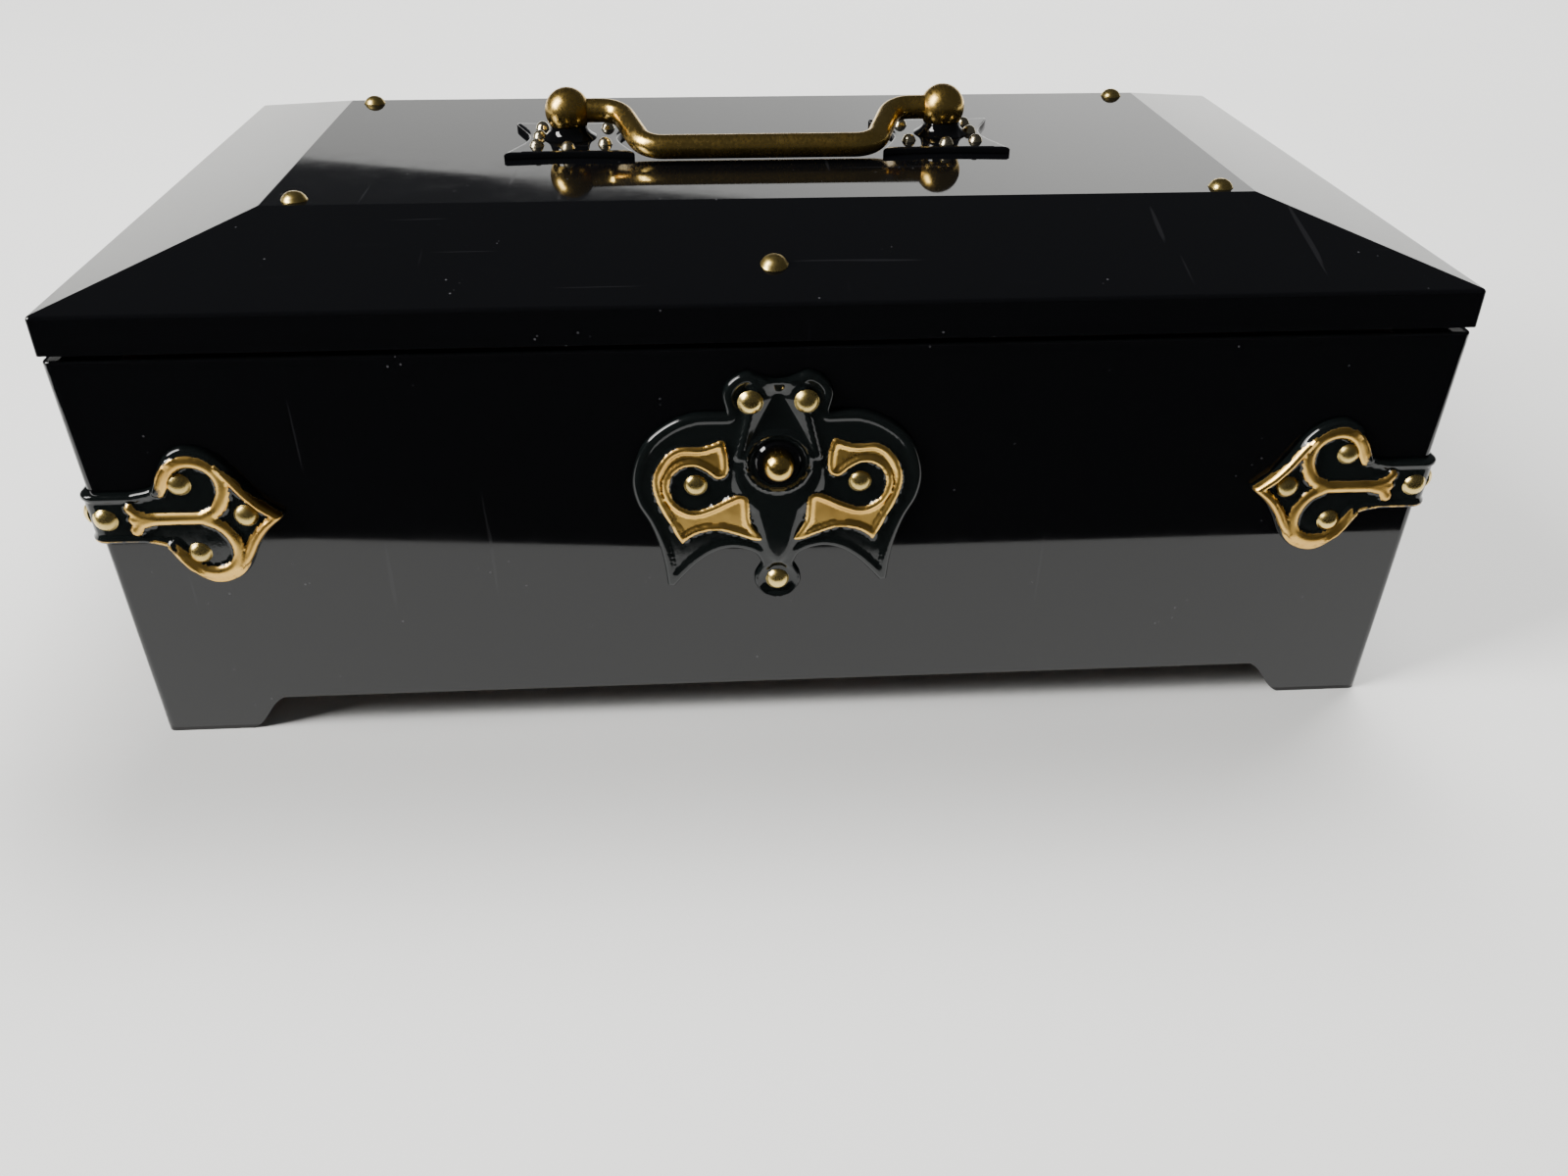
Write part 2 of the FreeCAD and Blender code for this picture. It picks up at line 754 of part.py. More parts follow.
def screw_posts():
    """Square posts in the four inner corners that take the panel screws."""
    posts = []
    for x, y in post_places():
        far_x = math.copysign(inner_half_x(panel_high) + body_wall / 2, x)
        far_y = math.copysign(inner_half_y(panel_high) + body_wall / 2, y)
        near_x = x - math.copysign(post_half, x)
        near_y = y - math.copysign(post_half, y)
        posts.append(block((min(near_x, far_x), min(near_y, far_y), panel_high),
                           (max(near_x, far_x), max(near_y, far_y), panel_high + post_height)))
    return posts


def post_places():
    x = inner_half_x(panel_high) - post_from_wall
    y = inner_half_y(panel_high) - post_from_wall
    return [(i * x, j * y) for i in (-1, 1) for j in (-1, 1)]


def bottom_panel():
    half_x = inner_half_x(panel_low) - panel_clearance
    half_y = inner_half_y(panel_low) - panel_clearance
    panel = block((-half_x, -half_y, panel_low), (half_x, half_y, panel_high))
    holes = [post(screw_shank_radius, place, panel_low, panel_high) for place in post_places()]
    holes.append(post(key_hole_radius, (movement_x, barrel_y), panel_low, panel_high))
    screw_end = bedplate_high - bedplate_screw_length
    for place in bedplate_screw_places():
        holes.append(post(screw_shank_radius, place, screw_end, panel_high))
    return panel.cut(all_of(holes))


def panel_screws():
    screw = slotted_screw(screw_head_radius, screw_head_height, screw_shank_radius, panel_screw_length)
    return all_of([stand(screw, (x, y, panel_low), (0, 0, -1)) for x, y in post_places()])


# ---------------------------------------------------------------- hinges
def hinge_screw_places(leaf):
    height = body_height - hinge_body_screw_drop
    if leaf == "lid":
        height = rim_top - hinge_screw_head_radius - hinge_wall_gap
    places = []
    for side in (-1, 1):
        for share in (-0.5, 0.5):
            x = side * (lid_length / 2 - hinge_from_end) + share * hinge_screw_spacing
            if leaf == "lid":
                places.append(((x, lid_width / 2 + hinge_leaf_thickness, height), (0, 1, 0)))
            else:
                tilt = math.radians(draft_angle)
                outward = (0, math.cos(tilt), -math.sin(tilt))
                y = -front_y(height) + hinge_leaf_thickness
                places.append(((x, y, height), outward))
    return places


def hinge_screw_drill():
    return rod(hinge_screw_shank_radius, (0, 0, -hinge_screw_length), (0, 0, 0))


def knuckle(x_low, x_high, bore):
    ends = [(x, hinge_axis_y, hinge_axis_z) for x in (x_low, x_high)]
    return rod(hinge_knuckle_radius, *ends).cut(rod(bore, *ends))


def hinge_body_leaf():
    """The right-hand body leaf with its two outer knuckles."""
    centre = lid_length / 2 - hinge_from_end
    half = hinge_leaf_width / 2
    third = hinge_leaf_width / 6
    leaf = block((-centre - half, -hinge_leaf_thickness, body_height - hinge_body_leaf_height),
                 (-centre + half, 0, hinge_axis_z))
    leaf = on_back(leaf)
    outer = [knuckle(centre - half, centre - third, hinge_pin_radius),
             knuckle(centre + third, centre + half, hinge_pin_radius)]
    free = third + hinge_knuckle_gap
    gap = rod(hinge_knuckle_radius + hinge_knuckle_gap, (centre - free, hinge_axis_y, hinge_axis_z),
              (centre + free, hinge_axis_y, hinge_axis_z))
    pin = rod(hinge_pin_radius, (centre - half, hinge_axis_y, hinge_axis_z),
              (centre + half, hinge_axis_y, hinge_axis_z))
    screws = [stand(hinge_screw_drill(), *place) for place in hinge_screw_places("body")]
    return joined([leaf.cut(gap)] + outer).cut(all_of([pin] + screws))


def hinge_lid_leaf():
    """The right-hand lid leaf with its middle knuckle."""
    centre = lid_length / 2 - hinge_from_end
    half = hinge_leaf_width / 2
    third = hinge_leaf_width / 6 - hinge_knuckle_gap
    low = hinge_axis_z + hinge_knuckle_radius + hinge_knuckle_gap
    y = lid_width / 2
    leaf = block((centre - half, y, low), (centre + half, y + hinge_leaf_thickness, rim_top))
    tongue = block((centre - third, y, hinge_axis_z), (centre + third, y + hinge_leaf_thickness, low))
    middle = knuckle(centre - third, centre + third, hinge_pin_radius + hinge_pin_clearance)
    bore = rod(hinge_pin_radius + hinge_pin_clearance, (centre - half, hinge_axis_y, hinge_axis_z),
               (centre + half, hinge_axis_y, hinge_axis_z))
    screws = [stand(hinge_screw_drill(), *place) for place in hinge_screw_places("lid")]
    return joined([leaf, tongue, middle]).cut(all_of([bore] + screws))


def hinge_pins():
    centre = lid_length / 2 - hinge_from_end
    half = hinge_leaf_width / 2
    ends = [(x, hinge_axis_y, hinge_axis_z) for x in (centre - half, centre + half)]
    pin = rod(hinge_pin_radius, *ends)
    return all_of([pin, mirrored(pin)])


def hinge_screws(leaf):
    screw = slotted_screw(hinge_screw_head_radius, hinge_screw_head_height, hinge_screw_shank_radius,
                          hinge_screw_length)
    return all_of([stand(screw, *place) for place in hinge_screw_places(leaf)])


# ---------------------------------------------------------------- ornaments
def fitting_leaf():
    """One leaf of a corner fitting in (distance from the corner, height), its back on y = 0."""
    strap = fitting_strap_half
    upper = fitting_side + fitting_point
    lower = [(s, -h) for s, h in reversed(upper)]
    past = -fitting_thickness
    wire = plane_outline((past, strap), [
        [(fitting_strap_length, strap)], upper + [(fitting_reach, 0.0)],
        lower + [(fitting_strap_length, -strap)], [(past, -strap)], [(past, strap)]])
    leaf = Part.Face(wire).extrude(vec(0, -fitting_thickness, 0))
    return moved(leaf, 0, 0, fitting_height)


def corner_fitting():
    """The left front fitting: a leaf on the front and one on the end, joined over the corner."""
    inset = face_inset(fitting_height)
    leaf = fitting_leaf()
    front = on_front(moved(leaf, -body_half_x + inset, 0, 0))
    side = on_side(moved(leaf.mirror(vec(0, 0, 0), vec(1, 0, 0)), body_half_y - inset, 0, 0), -1)
    drills = [stand(nail_drill(), *place) for place in nail_places()]
    return joined([front, side]).cut(all_of(drills))


def fitting_nail_places():
    """Nails through the leaves of the two corner fittings, on the front and on the ends."""
    tilt = math.radians(draft_angle)
    places = []
    for side in (-1, 1):
        for s, h in fitting_nails:
            z = fitting_height + h
            along_x = body_half_x - face_inset(fitting_height) - s
            along_y = body_half_y - face_inset(fitting_height) - s
            front = front_y(z) - fitting_thickness
            end = body_half_x - face_inset(z) + fitting_thickness
            places.append(((side * along_x, front, z), (0, -math.cos(tilt), -math.sin(tilt))))
            places.append(((side * end, -along_y, z), (side * math.cos(tilt), 0, -math.sin(tilt))))
    return places


def escutcheon_nail_places():
    tilt = math.radians(draft_angle)
    outward = (0, -math.cos(tilt), -math.sin(tilt))
    return [((x, front_y(z) - escutcheon_thickness, z), outward) for x, z in escutcheon_nails]


def nail_places():
    return fitting_nail_places() + escutcheon_nail_places()


def nail_drill():
    return rod(nail_shank_radius, (0, 0, -nail_length), (0, 0, 0))


def brass_nails(places):
    nail = headed_pin(nail_head_radius, nail_head_height, nail_shank_radius, nail_length)
    return all_of([stand(nail, *place) for place in places])


def escutcheon():
    """The lock plate: two small lobes on top, wide wings with spikes, and a round boss below."""
    boss_side = escutcheon_hem[-1][0]
    boss_low = boss_height - boss_radius
    spike = [[point] for point in escutcheon_spike]
    boss = [(boss_radius, boss_height), (boss_side, boss_low + boss_round), (0.0, boss_low)]
    right = [escutcheon_top, escutcheon_wing] + spike + [escutcheon_hem, boss]
    left = []
    joints = [(0.0, escutcheon_dip)] + [stroke[-1] for stroke in right]
    for stroke, start in zip(reversed(right), reversed(joints[:-1])):
        left.append([(-x, z) for x, z in reversed(stroke[:-1])] + [(-start[0], start[1])])
    plate = Part.Face(plane_outline(joints[0], right + left)).extrude(vec(0, -escutcheon_thickness, 0))
    y = front_y(button_height)
    hole = rod(sleeve_radius, (0, y - body_wall, button_height), (0, y + body_wall, button_height))
    drills = [stand(nail_drill(), *place) for place in escutcheon_nail_places()]
    return on_front(plate).cut(all_of([hole] + drills))


# ---------------------------------------------------------------- push button and catch
def along_y(profile, y, z):
    """A turned piece on the axis of the button; profile heights run inwards from y."""
    piece = turned_about(turned(profile), (0, 0, 0), (1, 0, 0), -90)
    return moved(piece, 0, y, z)


def button_levels():
    """Distances behind the front face at the button: shoulder, latch plate and bracket."""
    shoulder = body_wall + axial_gap
    latch = body_wall + strike_gap + strike_thickness + latch_gap
    spring = latch + latch_thickness
    bracket = spring + spring_length
    return shoulder, latch, spring, bracket


def button_sleeve():
    """The dark ring round the button, set through the wall."""
    y = front_y(button_height)
    bore = button_radius + button_clearance
    front = -escutcheon_thickness - sleeve_flange
    back = body_wall
    rounding = sleeve_flange / 2
    seat = -escutcheon_thickness - sleeve_lift
    rim = sleeve_flange_radius
    profile = [(bore, front), (rim - rounding, front), (rim, front + rounding), (rim, seat),
               (sleeve_radius, seat), (sleeve_radius, back), (bore, back)]
    return along_y(profile, y, button_height)


def push_button():
    y = front_y(button_height)
    shoulder, _, _, bracket = button_levels()
    tip = -button_reach
    ball_radius_in_dome = (button_radius ** 2 + button_dome ** 2) / (2 * button_dome)
    half_angle = math.asin(button_radius / ball_radius_in_dome) / 2
    arc_mid = vec(ball_radius_in_dome * math.sin(half_angle), 0,
                  tip + ball_radius_in_dome * (1 - math.cos(half_angle)))
    arc = Part.Arc(vec(0, 0, tip), arc_mid, vec(button_radius, 0, tip + button_dome)).toShape()
    behind = shoulder + button_shoulder
    end = bracket + bracket_thickness
    steps = [(button_radius, tip + button_dome), (button_radius, shoulder),
             (button_shoulder_radius, shoulder), (button_shoulder_radius, behind), (stem_radius, behind),
             (stem_radius, end), (0, end), (0, tip)]
    sides = Part.makePolygon([vec(r, 0, z) for r, z in steps])
    face = Part.Face(Part.Wire([arc] + sides.Edges))
    piece = face.revolve(vec(0, 0, 0), vec(0, 0, 1), 360)
    return moved(turned_about(piece, (0, 0, 0), (1, 0, 0), -90), 0, y, button_height)


def latch_plate():
    """The upright strip on the button's stem, with the nose that holds the strike."""
    y = front_y(button_height)
    _, latch, spring, bracket = button_levels()
    half = latch_width / 2
    window_low = body_height - strike_drop + strike_window[0]
    nose_low = window_low + (strike_window[1] - strike_window[0] - latch_nose_height) / 2
    top = nose_low + latch_nose_height
    plate = block((-half, y + latch, button_height - latch_below), (half, y + spring, top))
    nose_tip = strike_blade_y() + strike_thickness + latch_nose_clearance
    nose = block((-latch_nose_width / 2, nose_tip, nose_low), (latch_nose_width / 2, y + latch, top))
    hole = rod(stem_radius, (0, y, button_height), (0, y + bracket, button_height))
    return plate.fuse(nose).cut(hole).removeSplitter()


def latch_bracket():
    """The bent strap behind the latch plate that the button spring pushes against."""
    y = front_y(button_height)
    bracket = button_levels()[3]
    wide = bracket_half_width
    low = button_height - bracket_half_height
    high = button_height + bracket_half_height
    wall = y + body_wall + bracket_wall_gap
    back = y + bracket + bracket_thickness
    strap = block((-wide, wall, low), (wide, back, high))
    space = block((-wide + bracket_thickness, wall, low), (wide - bracket_thickness, y + bracket, high))
    feet = [block((min(side * wide, side * (wide + bracket_foot)), wall, low),
                  (max(side * wide, side * (wide + bracket_foot)), wall + bracket_thickness, high))
            for side in (-1, 1)]
    hole = rod(stem_radius + stem_clearance, (0, y, button_height), (0, back + 1, button_height))
    return joined([strap.cut(space)] + feet).cut(hole)


def button_spring():
    """A coil of short straight runs between the latch plate and its bracket."""
    y = front_y(button_height)
    spring = button_levels()[2]
    runs = spring_turns * spring_runs_per_turn
    rise = spring_length - 2 * (spring_wire_radius + spring_end_gap)
    points = []
    for index in range(runs + 1):
        angle = 2 * math.pi * index / spring_runs_per_turn
        points.append(vec(spring_coil_radius * math.cos(angle), spring_coil_radius * math.sin(angle),
                          rise * index / runs))
    path = Part.makePolygon(points)
    section = Part.Wire(Part.makeCircle(spring_wire_radius, points[0], points[1] - points[0]))
    coil = path.makePipeShell([section], True, False, 1)
    start = y + spring + spring_wire_radius + spring_end_gap
    return moved(turned_about(coil, (0, 0, 0), (1, 0, 0), -90), 0, start, button_height)


# ---------------------------------------------------------------- linings and hood
def tray_end_x():
    return inner_half_x(panel_high) - tray_end_from_wall


def right_uprights(shape, least):
    """The upright edges on the right of a block that are longer than a least length."""
    return [edge for edge in shape.Edges if edge.BoundBox.ZLength > least and edge.BoundBox.XMin > 0]


def lining_tray():
    """The lined inner box with a flange that covers the gap to the walls and the catch."""
    left = partition_x
    right = tray_end_x()
    front = -tray_front
    back = tray_half_depth_back
    flange_high = body_height - tray_flange_below_edge
    flange_low = flange_high - tray_flange_thickness
    wall = tray_thickness
    outer = block((left, front, panel_high), (right, back, flange_high))
    outer = outer.makeFillet(tray_corner_round, right_uprights(outer, flange_high / 2))
    inner = block((left + wall, front + wall, panel_high + wall), (right - wall, back - wall, body_height))
    inner = inner.makeFillet(tray_corner_round - wall, right_uprights(inner, flange_high / 2))
    flange_half = inner_half_y(flange_low) - tray_flange_gap
    flange = block((left, -flange_half, flange_low),
                   (inner_half_x(flange_low) - tray_flange_gap, flange_half, flange_high))
    catch_back = front + catch_box_depth
    half = catch_box_half
    catch_box = block((-half, front, panel_high), (half, catch_back, flange_high))
    pocket = block((-half + wall, -body_half_y, panel_high + wall),
                   (half - wall, catch_back - wall, body_height))
    tray = joined([outer, flange]).cut(inner)
    return joined([tray, catch_box]).cut(pocket)


def hood_left():
    return -inner_half_x(panel_high) + hood_from_wall


def movement_hood():
    """The clear cover over the movement, with a raised guide for the stop rod."""
    left = hood_left()
    right = partition_x - hood_to_partition
    half = hood_half_depth
    wall = hood_wall
    outer = block((left, -half, panel_high), (right, half, hood_top))
    uprights = [edge for edge in outer.Edges if edge.BoundBox.ZLength > hood_top / 2]
    outer = outer.makeFillet(bedplate_round, uprights)
    inner = block((left + wall, -half + wall, panel_high), (right - wall, half - wall, hood_top - wall))
    guide_top = hood_top + hood_guide_height
    guide = post(hood_guide_radius, stop_rod_place(), hood_top - wall, guide_top)
    bore = post(stop_rod_radius + stop_rod_clearance, stop_rod_place(), hood_top - wall, guide_top)
    return joined([outer.cut(inner), guide]).cut(bore)


# ---------------------------------------------------------------- gears
def toothed_disc(teeth, module, width, phase):
    """A toothed wheel standing on z = 0, with the middle of one tooth at the phase angle."""
    pitch_radius = teeth * module / 2
    tip = pitch_radius + tooth_addendum * module
    root = pitch_radius - tooth_dedendum * module
    pitch_angle = 2 * math.pi / teeth
    share_at = {root: tooth_root_share, pitch_radius: tooth_share, tip: tooth_tip_share}
    points = []
    for tooth in range(teeth):
        middle = math.radians(phase) + tooth * pitch_angle
        flank = [(radius, share_at[radius] * pitch_angle / 2) for radius in (root, pitch_radius, tip)]
        left = [(radius, middle - half) for radius, half in flank]
        right = [(radius, middle + half) for radius, half in reversed(flank)]
        points += [vec(radius * math.cos(a), radius * math.sin(a), 0) for radius, a in left + right]
    return Part.Face(Part.makePolygon(points + points[:1])).extrude(vec(0, 0, width))


def across(shape, x, y, z):
    """Turn a wheel drawn on Z so that its axis lies on Y and its far face is at y."""
    return moved(turned_about(shape, (0, 0, 0), (1, 0, 0), 90), x, y, z)


def arbor_point(start, distance, angle):
    turn = math.radians(angle)
    return start[0] + distance * math.cos(turn), start[1] + distance * math.sin(turn)


def cylinder_centre():
    return movement_x, cylinder_z


def first_centre():
    return arbor_point(cylinder_centre(), first_distance, first_pinion_angle)


def second_centre():
    return arbor_point(first_centre(), second_distance, second_pinion_angle)


def worm_x():
    return second_centre()[0] + worm_distance


def stop_rod_place():
    return worm_x() + stop_rod_offset, movement_y + worm_plane


# ---------------------------------------------------------------- movement: base
def bedplate_screw_places():
    left = movement_x - bedplate_left + bedplate_screw_inset
    right = movement_x + bedplate_right - bedplate_screw_inset
    front = movement_y - bedplate_front + bedplate_screw_inset
    back = movement_y + bedplate_back - bedplate_screw_inset
    return [(x, y) for x in (left, right) for y in (front, back)]


def bracket_screw_places():
    """Screws through the feet of the two cylinder brackets and of the governor frame."""
    front = (movement_x, movement_y + front_bracket_y + bracket_plate + foot_screw_out)
    rear = (movement_x - rear_screw_aside, movement_y + rear_bracket_y - foot_screw_out)
    governor = (worm_x() + governor_screw_aside, movement_y + governor_plate_y - foot_screw_out)
    return [front, rear, governor]


def comb_screw_places():
    heel = comb_tip_x() + comb_tooth_length + comb_heel_length / 2
    start = movement_y + cylinder_start
    step = comb_teeth * comb_pitch / comb_screw_count
    return [(heel, start + (index + 0.5) * step) for index in range(comb_screw_count)]


def foot_screw():
    return slotted_screw(small_head_radius, screw_head_height, small_shank_radius, bedplate_thickness)


def bedplate():
    plate = block((movement_x - bedplate_left, movement_y - bedplate_front, panel_high),
                  (movement_x + bedplate_right, movement_y + bedplate_back, bedplate_high))
    uprights = [e for e in plate.Edges if abs(e.BoundBox.ZLength - bedplate_thickness) < 0.001]
    plate = plate.makeFillet(bedplate_round, uprights)
    holes = [post(screw_shank_radius, place, panel_high, bedplate_high)
             for place in bedplate_screw_places()]
    holes.append(post(winding_radius + shaft_clearance, (movement_x, barrel_y), panel_high, bedplate_high))
    for place in bracket_screw_places():
        holes.append(post(small_shank_radius, place, panel_high + bracket_plate, bedplate_high))
    holes.append(post(click_pivot_radius, click_pivot(), panel_high, bedplate_high))
    return plate.cut(all_of(holes))


def bedplate_screws():
    screw = slotted_screw(screw_head_radius, screw_head_height, screw_shank_radius, bedplate_screw_length)
    return all_of([moved(screw, x, y, bedplate_high) for x, y in bedplate_screw_places()])


def movement_screws():
    """The small screws of the movement and the headed post that the click turns on."""
    screws = [moved(foot_screw(), x, y, bedplate_high + bracket_plate) for x, y in bracket_screw_places()]
    comb_top = cylinder_z + comb_thickness / 2
    long_screw = slotted_screw(small_head_radius, screw_head_height, small_shank_radius,
                               comb_thickness + comb_screw_depth)
    screws += [moved(long_screw, x, y, comb_top) for x, y in comb_screw_places()]
    return all_of(screws + [click_post()])


# ---------------------------------------------------------------- movement: winding
def winding_arbor():
    top_core = crown_low - axial_gap
    low_core = barrel_low + barrel_floor + axial_gap
    thread = winding_thread_radius
    core = winding_core_radius
    profile = [(0, winding_bottom), (thread, winding_bottom), (thread, key_hub_top),
               (winding_radius, key_hub_top),
               (winding_radius, low_core), (core, low_core), (core, top_core), (winding_radius, top_core),
               (winding_radius, winding_top), (0, winding_top)]
    return moved(turned(profile), movement_x, barrel_y, 0)


def ratchet_wheel():
    """Saw teeth: each rises along a radius to its tip and slopes back down to the next root."""
    points = []
    for tooth in range(ratchet_teeth):
        angle = math.radians(180 + tooth * 360 / ratchet_teeth)
        for radius in (ratchet_root, ratchet_radius):
            points.append(vec(radius * math.cos(angle), radius * math.sin(angle), 0))
    wheel = Part.Face(Part.makePolygon(points + points[:1])).extrude(vec(0, 0, ratchet_thickness))
    bore = rod(winding_radius, (0, 0, 0), (0, 0, ratchet_thickness))
    return moved(wheel.cut(bore), movement_x, barrel_y, ratchet_low)


def winding_key():
    """A butterfly key screwed on the arbor under the box."""
    hub = turned([(0, key_wing_high), (0, key_wing_low), (key_hub_radius - key_hub_bevel, key_wing_low),
                  (key_hub_radius, key_wing_low + key_hub_bevel), (key_hub_radius, key_hub_top),
                  (0, key_hub_top)])
    half = key_wing_span / 2
    depth = (key_wing_high - key_wing_low) / 2
    middle = key_wing_low + depth
    wing = block((-half + depth, -key_wing_thickness / 2, key_wing_low),
                 (half - depth, key_wing_thickness / 2, key_wing_high))
    ends = [rod(depth, (side * (half - depth), -key_wing_thickness / 2, middle),
                (side * (half - depth), key_wing_thickness / 2, middle)) for side in (-1, 1)]
    eyes = [rod(key_wing_hole, (side * (half - depth), -key_wing_thickness, middle),
                (side * (half - depth), key_wing_thickness, middle)) for side in (-1, 1)]
    thread = rod(winding_thread_radius, (0, 0, winding_bottom), (0, 0, key_hub_top))
    key = joined([hub, wing] + ends).cut(all_of(eyes + [thread]))
    return moved(key, movement_x, barrel_y, 0)


def click_pivot():
    return movement_x + click_pivot_x, barrel_y + click_pivot_y


def click_tip():
    """Where the click meets the radial face of the tooth at the left of the ratchet."""
    radius = (ratchet_root + ratchet_radius) / 2
    return movement_x - radius, barrel_y + click_tooth_clearance


def click():
    """The pawl: an eye on the pivot and an arm that ends against a ratchet tooth."""
    pivot = click_pivot()
    tip = click_tip()
    reach = math.hypot(tip[0] - pivot[0], tip[1] - pivot[1])
    angle = math.degrees(math.atan2(tip[1] - pivot[1], tip[0] - pivot[0]))
    half = click_arm_width / 2
    thin = click_tip_half
    neck = reach - click_nose_length
    profile = [(0, -half), (neck, -half), (reach, -thin), (reach, thin), (neck, half), (0, half)]
    arm = Part.Face(Part.makePolygon([vec(x, y, 0) for x, y in profile + profile[:1]]))
    arm = arm.extrude(vec(0, 0, click_thickness))
    eye = rod(click_eye_radius, (0, 0, 0), (0, 0, click_thickness))
    bore = rod(click_pivot_radius + shaft_clearance, (0, 0, 0), (0, 0, click_thickness))
    piece = joined([arm, eye]).cut(bore)
    piece.rotate(vec(0, 0, 0), vec(0, 0, 1), angle)
    return moved(piece, pivot[0], pivot[1], ratchet_low + click_lift_gap)


def click_post():
    shank_top = ratchet_low + click_thickness + 2 * click_lift_gap
    shank = post(click_pivot_radius, click_pivot(), panel_high, shank_top)
    head = post(click_post_head_radius, click_pivot(), shank_top, shank_top + click_post_head_height)
    return joined([shank, head])


def click_spring():
    """A flat spring that stands on the bedplate just behind the click's arm."""
    pivot = click_pivot()
    tip = click_tip()
    angle = math.degrees(math.atan2(tip[1] - pivot[1], tip[0] - pivot[0]))
    offset = -click_arm_width / 2 - click_spring_gap - click_spring_thickness
    blade = block((click_eye_radius, offset, 0), (click_spring_length, offset + click_spring_thickness,
                                                  click_spring_height))
    foot_offset = offset + click_spring_thickness - click_spring_foot_radius
    foot = post(click_spring_foot_radius, (click_spring_length, foot_offset), 0, click_spring_height)
    spring = joined([blade, foot])
    spring.rotate(vec(0, 0, 0), vec(0, 0, 1), angle)
    return moved(spring, pivot[0], pivot[1], bedplate_high)


# ---------------------------------------------------------------- movement: barrel
def barrel_cup():
    bore = winding_radius + shaft_clearance
    top = barrel_height
    profile = [(bore, 0), (barrel_radius, 0), (barrel_radius, top), (barrel_radius - barrel_wall, top),
               (barrel_radius - barrel_wall, barrel_floor), (bore, barrel_floor)]
    return moved(turned(profile), movement_x, barrel_y, barrel_low)


def crown_wheel():
    """The barrel cover, with a ring of face teeth that drives the pinion on the cylinder."""
    bore = winding_radius + shaft_clearance
    tooth_height = crown_top - crown_low
    profile = [(bore, 0), (crown_outer, 0), (crown_outer, tooth_height), (crown_inner, tooth_height),
               (crown_inner, crown_disc), (bore, crown_disc)]
    slot_half = crown_module * math.pi * (1 - tooth_share) / 2
    slot = block((-slot_half, crown_inner - cut_over, crown_disc),
                 (slot_half, crown_outer + cut_over, tooth_height + cut_over))
    slots = [turned_about(slot, (0, 0, 0), (0, 0, 1), 360 * n / crown_teeth) for n in range(crown_teeth)]
    return moved(turned(profile).cut(all_of(slots)), movement_x, barrel_y, crown_low)


def mainspring():
    """A flat strip coiled in half turns whose radius grows by half a pitch each time."""
    low = barrel_low + barrel_floor + mainspring_side_gap
    high = crown_low - mainspring_side_gap
    half = mainspring_thickness / 2
    sides = {-half: [], half: []}
    for turn in range(2 * mainspring_turns):
        radius = mainspring_inner + mainspring_pitch * turn / 2
        centre = 0 if turn % 2 == 0 else mainspring_pitch / 2
        up = 1 if turn % 2 == 0 else -1
        for offset, edges in sides.items():
            r = radius + offset
            edges.append(Part.Arc(vec(centre + up * r, 0, 0), vec(centre, up * r, 0),
                                  vec(centre - up * r, 0, 0)).toShape())
    inner, outer = sides[-half], sides[half]
    ends = [Part.makeLine(inner[0].firstVertex(True).Point, outer[0].firstVertex(True).Point),
            Part.makeLine(inner[-1].lastVertex(True).Point, outer[-1].lastVertex(True).Point)]
    wire = Part.Wire(Part.__sortEdges__(inner + outer + ends))
    strip = Part.Face(wire).extrude(vec(0, 0, high - low))
    return moved(strip, movement_x, barrel_y, low)


# ---------------------------------------------------------------- movement: cylinder
def pinned_cylinder():
    depth = cylinder_dish
    far = cylinder_length
    rim = cylinder_radius - cylinder_rim
    hub = cylinder_hub_radius
    profile = [(arbor_radius, 0), (hub, 0), (hub, depth), (rim, depth), (rim, 0), (cylinder_radius, 0),
               (cylinder_radius, far), (rim, far), (rim, far - depth), (hub, far - depth), (hub, far),
               (arbor_radius, far)]
    y = movement_y + cylinder_start + cylinder_length
    return across(turned(profile), movement_x, y, cylinder_z)


def track_y(track):
    return movement_y + cylinder_start + (track + 0.5) * comb_pitch + comb_margin()


def comb_margin():
    return (cylinder_length - comb_teeth * comb_pitch) / 2


def melody_pins():
    """The tune: short pins on the cylinder, a few on the track of each comb tooth."""
    pins = []
    for track in range(comb_teeth):
        for note in range(pins_per_track):
            angle = math.radians(pin_angle_step * (track * pins_per_track + note))
            y = track_y(track)
            ends = [(movement_x + r * math.cos(angle), y, cylinder_z + r * math.sin(angle))
                    for r in (cylinder_radius, cylinder_radius + pin_height)]
            pins.append(rod(pin_radius, *ends))
    return all_of(pins)


def cylinder_arbor():
    start = movement_y - barrel_offset + crown_mesh_radius - pinion_width
    end = movement_y + rear_bracket_y + bracket_plate + axial_gap
    return rod(arbor_radius, (movement_x, start, cylinder_z), (movement_x, end, cylinder_z))


def crown_pinion():
    """The pinion on the cylinder arbor, with a tooth pointing down into the crown wheel."""
    y = barrel_y + crown_mesh_radius + pinion_width / 2
    gear = toothed_disc(crown_pinion_teeth, crown_module, pinion_width, -90)
    bore = rod(arbor_radius, (0, 0, 0), (0, 0, pinion_width))
    return across(gear.cut(bore), movement_x, y, cylinder_z)


def windowed(wheel, pitch_radius, hub_radius, width):
    """Open five round windows in the web of a wheel."""
    middle = (pitch_radius + hub_radius) / 2
    window = min((pitch_radius - hub_radius) / 2 - window_edge, middle * window_share)
    angles = [2 * math.pi * n / window_count for n in range(window_count)]
    holes = [post(window, (middle * math.cos(a), middle * math.sin(a)), 0, width) for a in angles]
    return wheel.cut(all_of(holes))


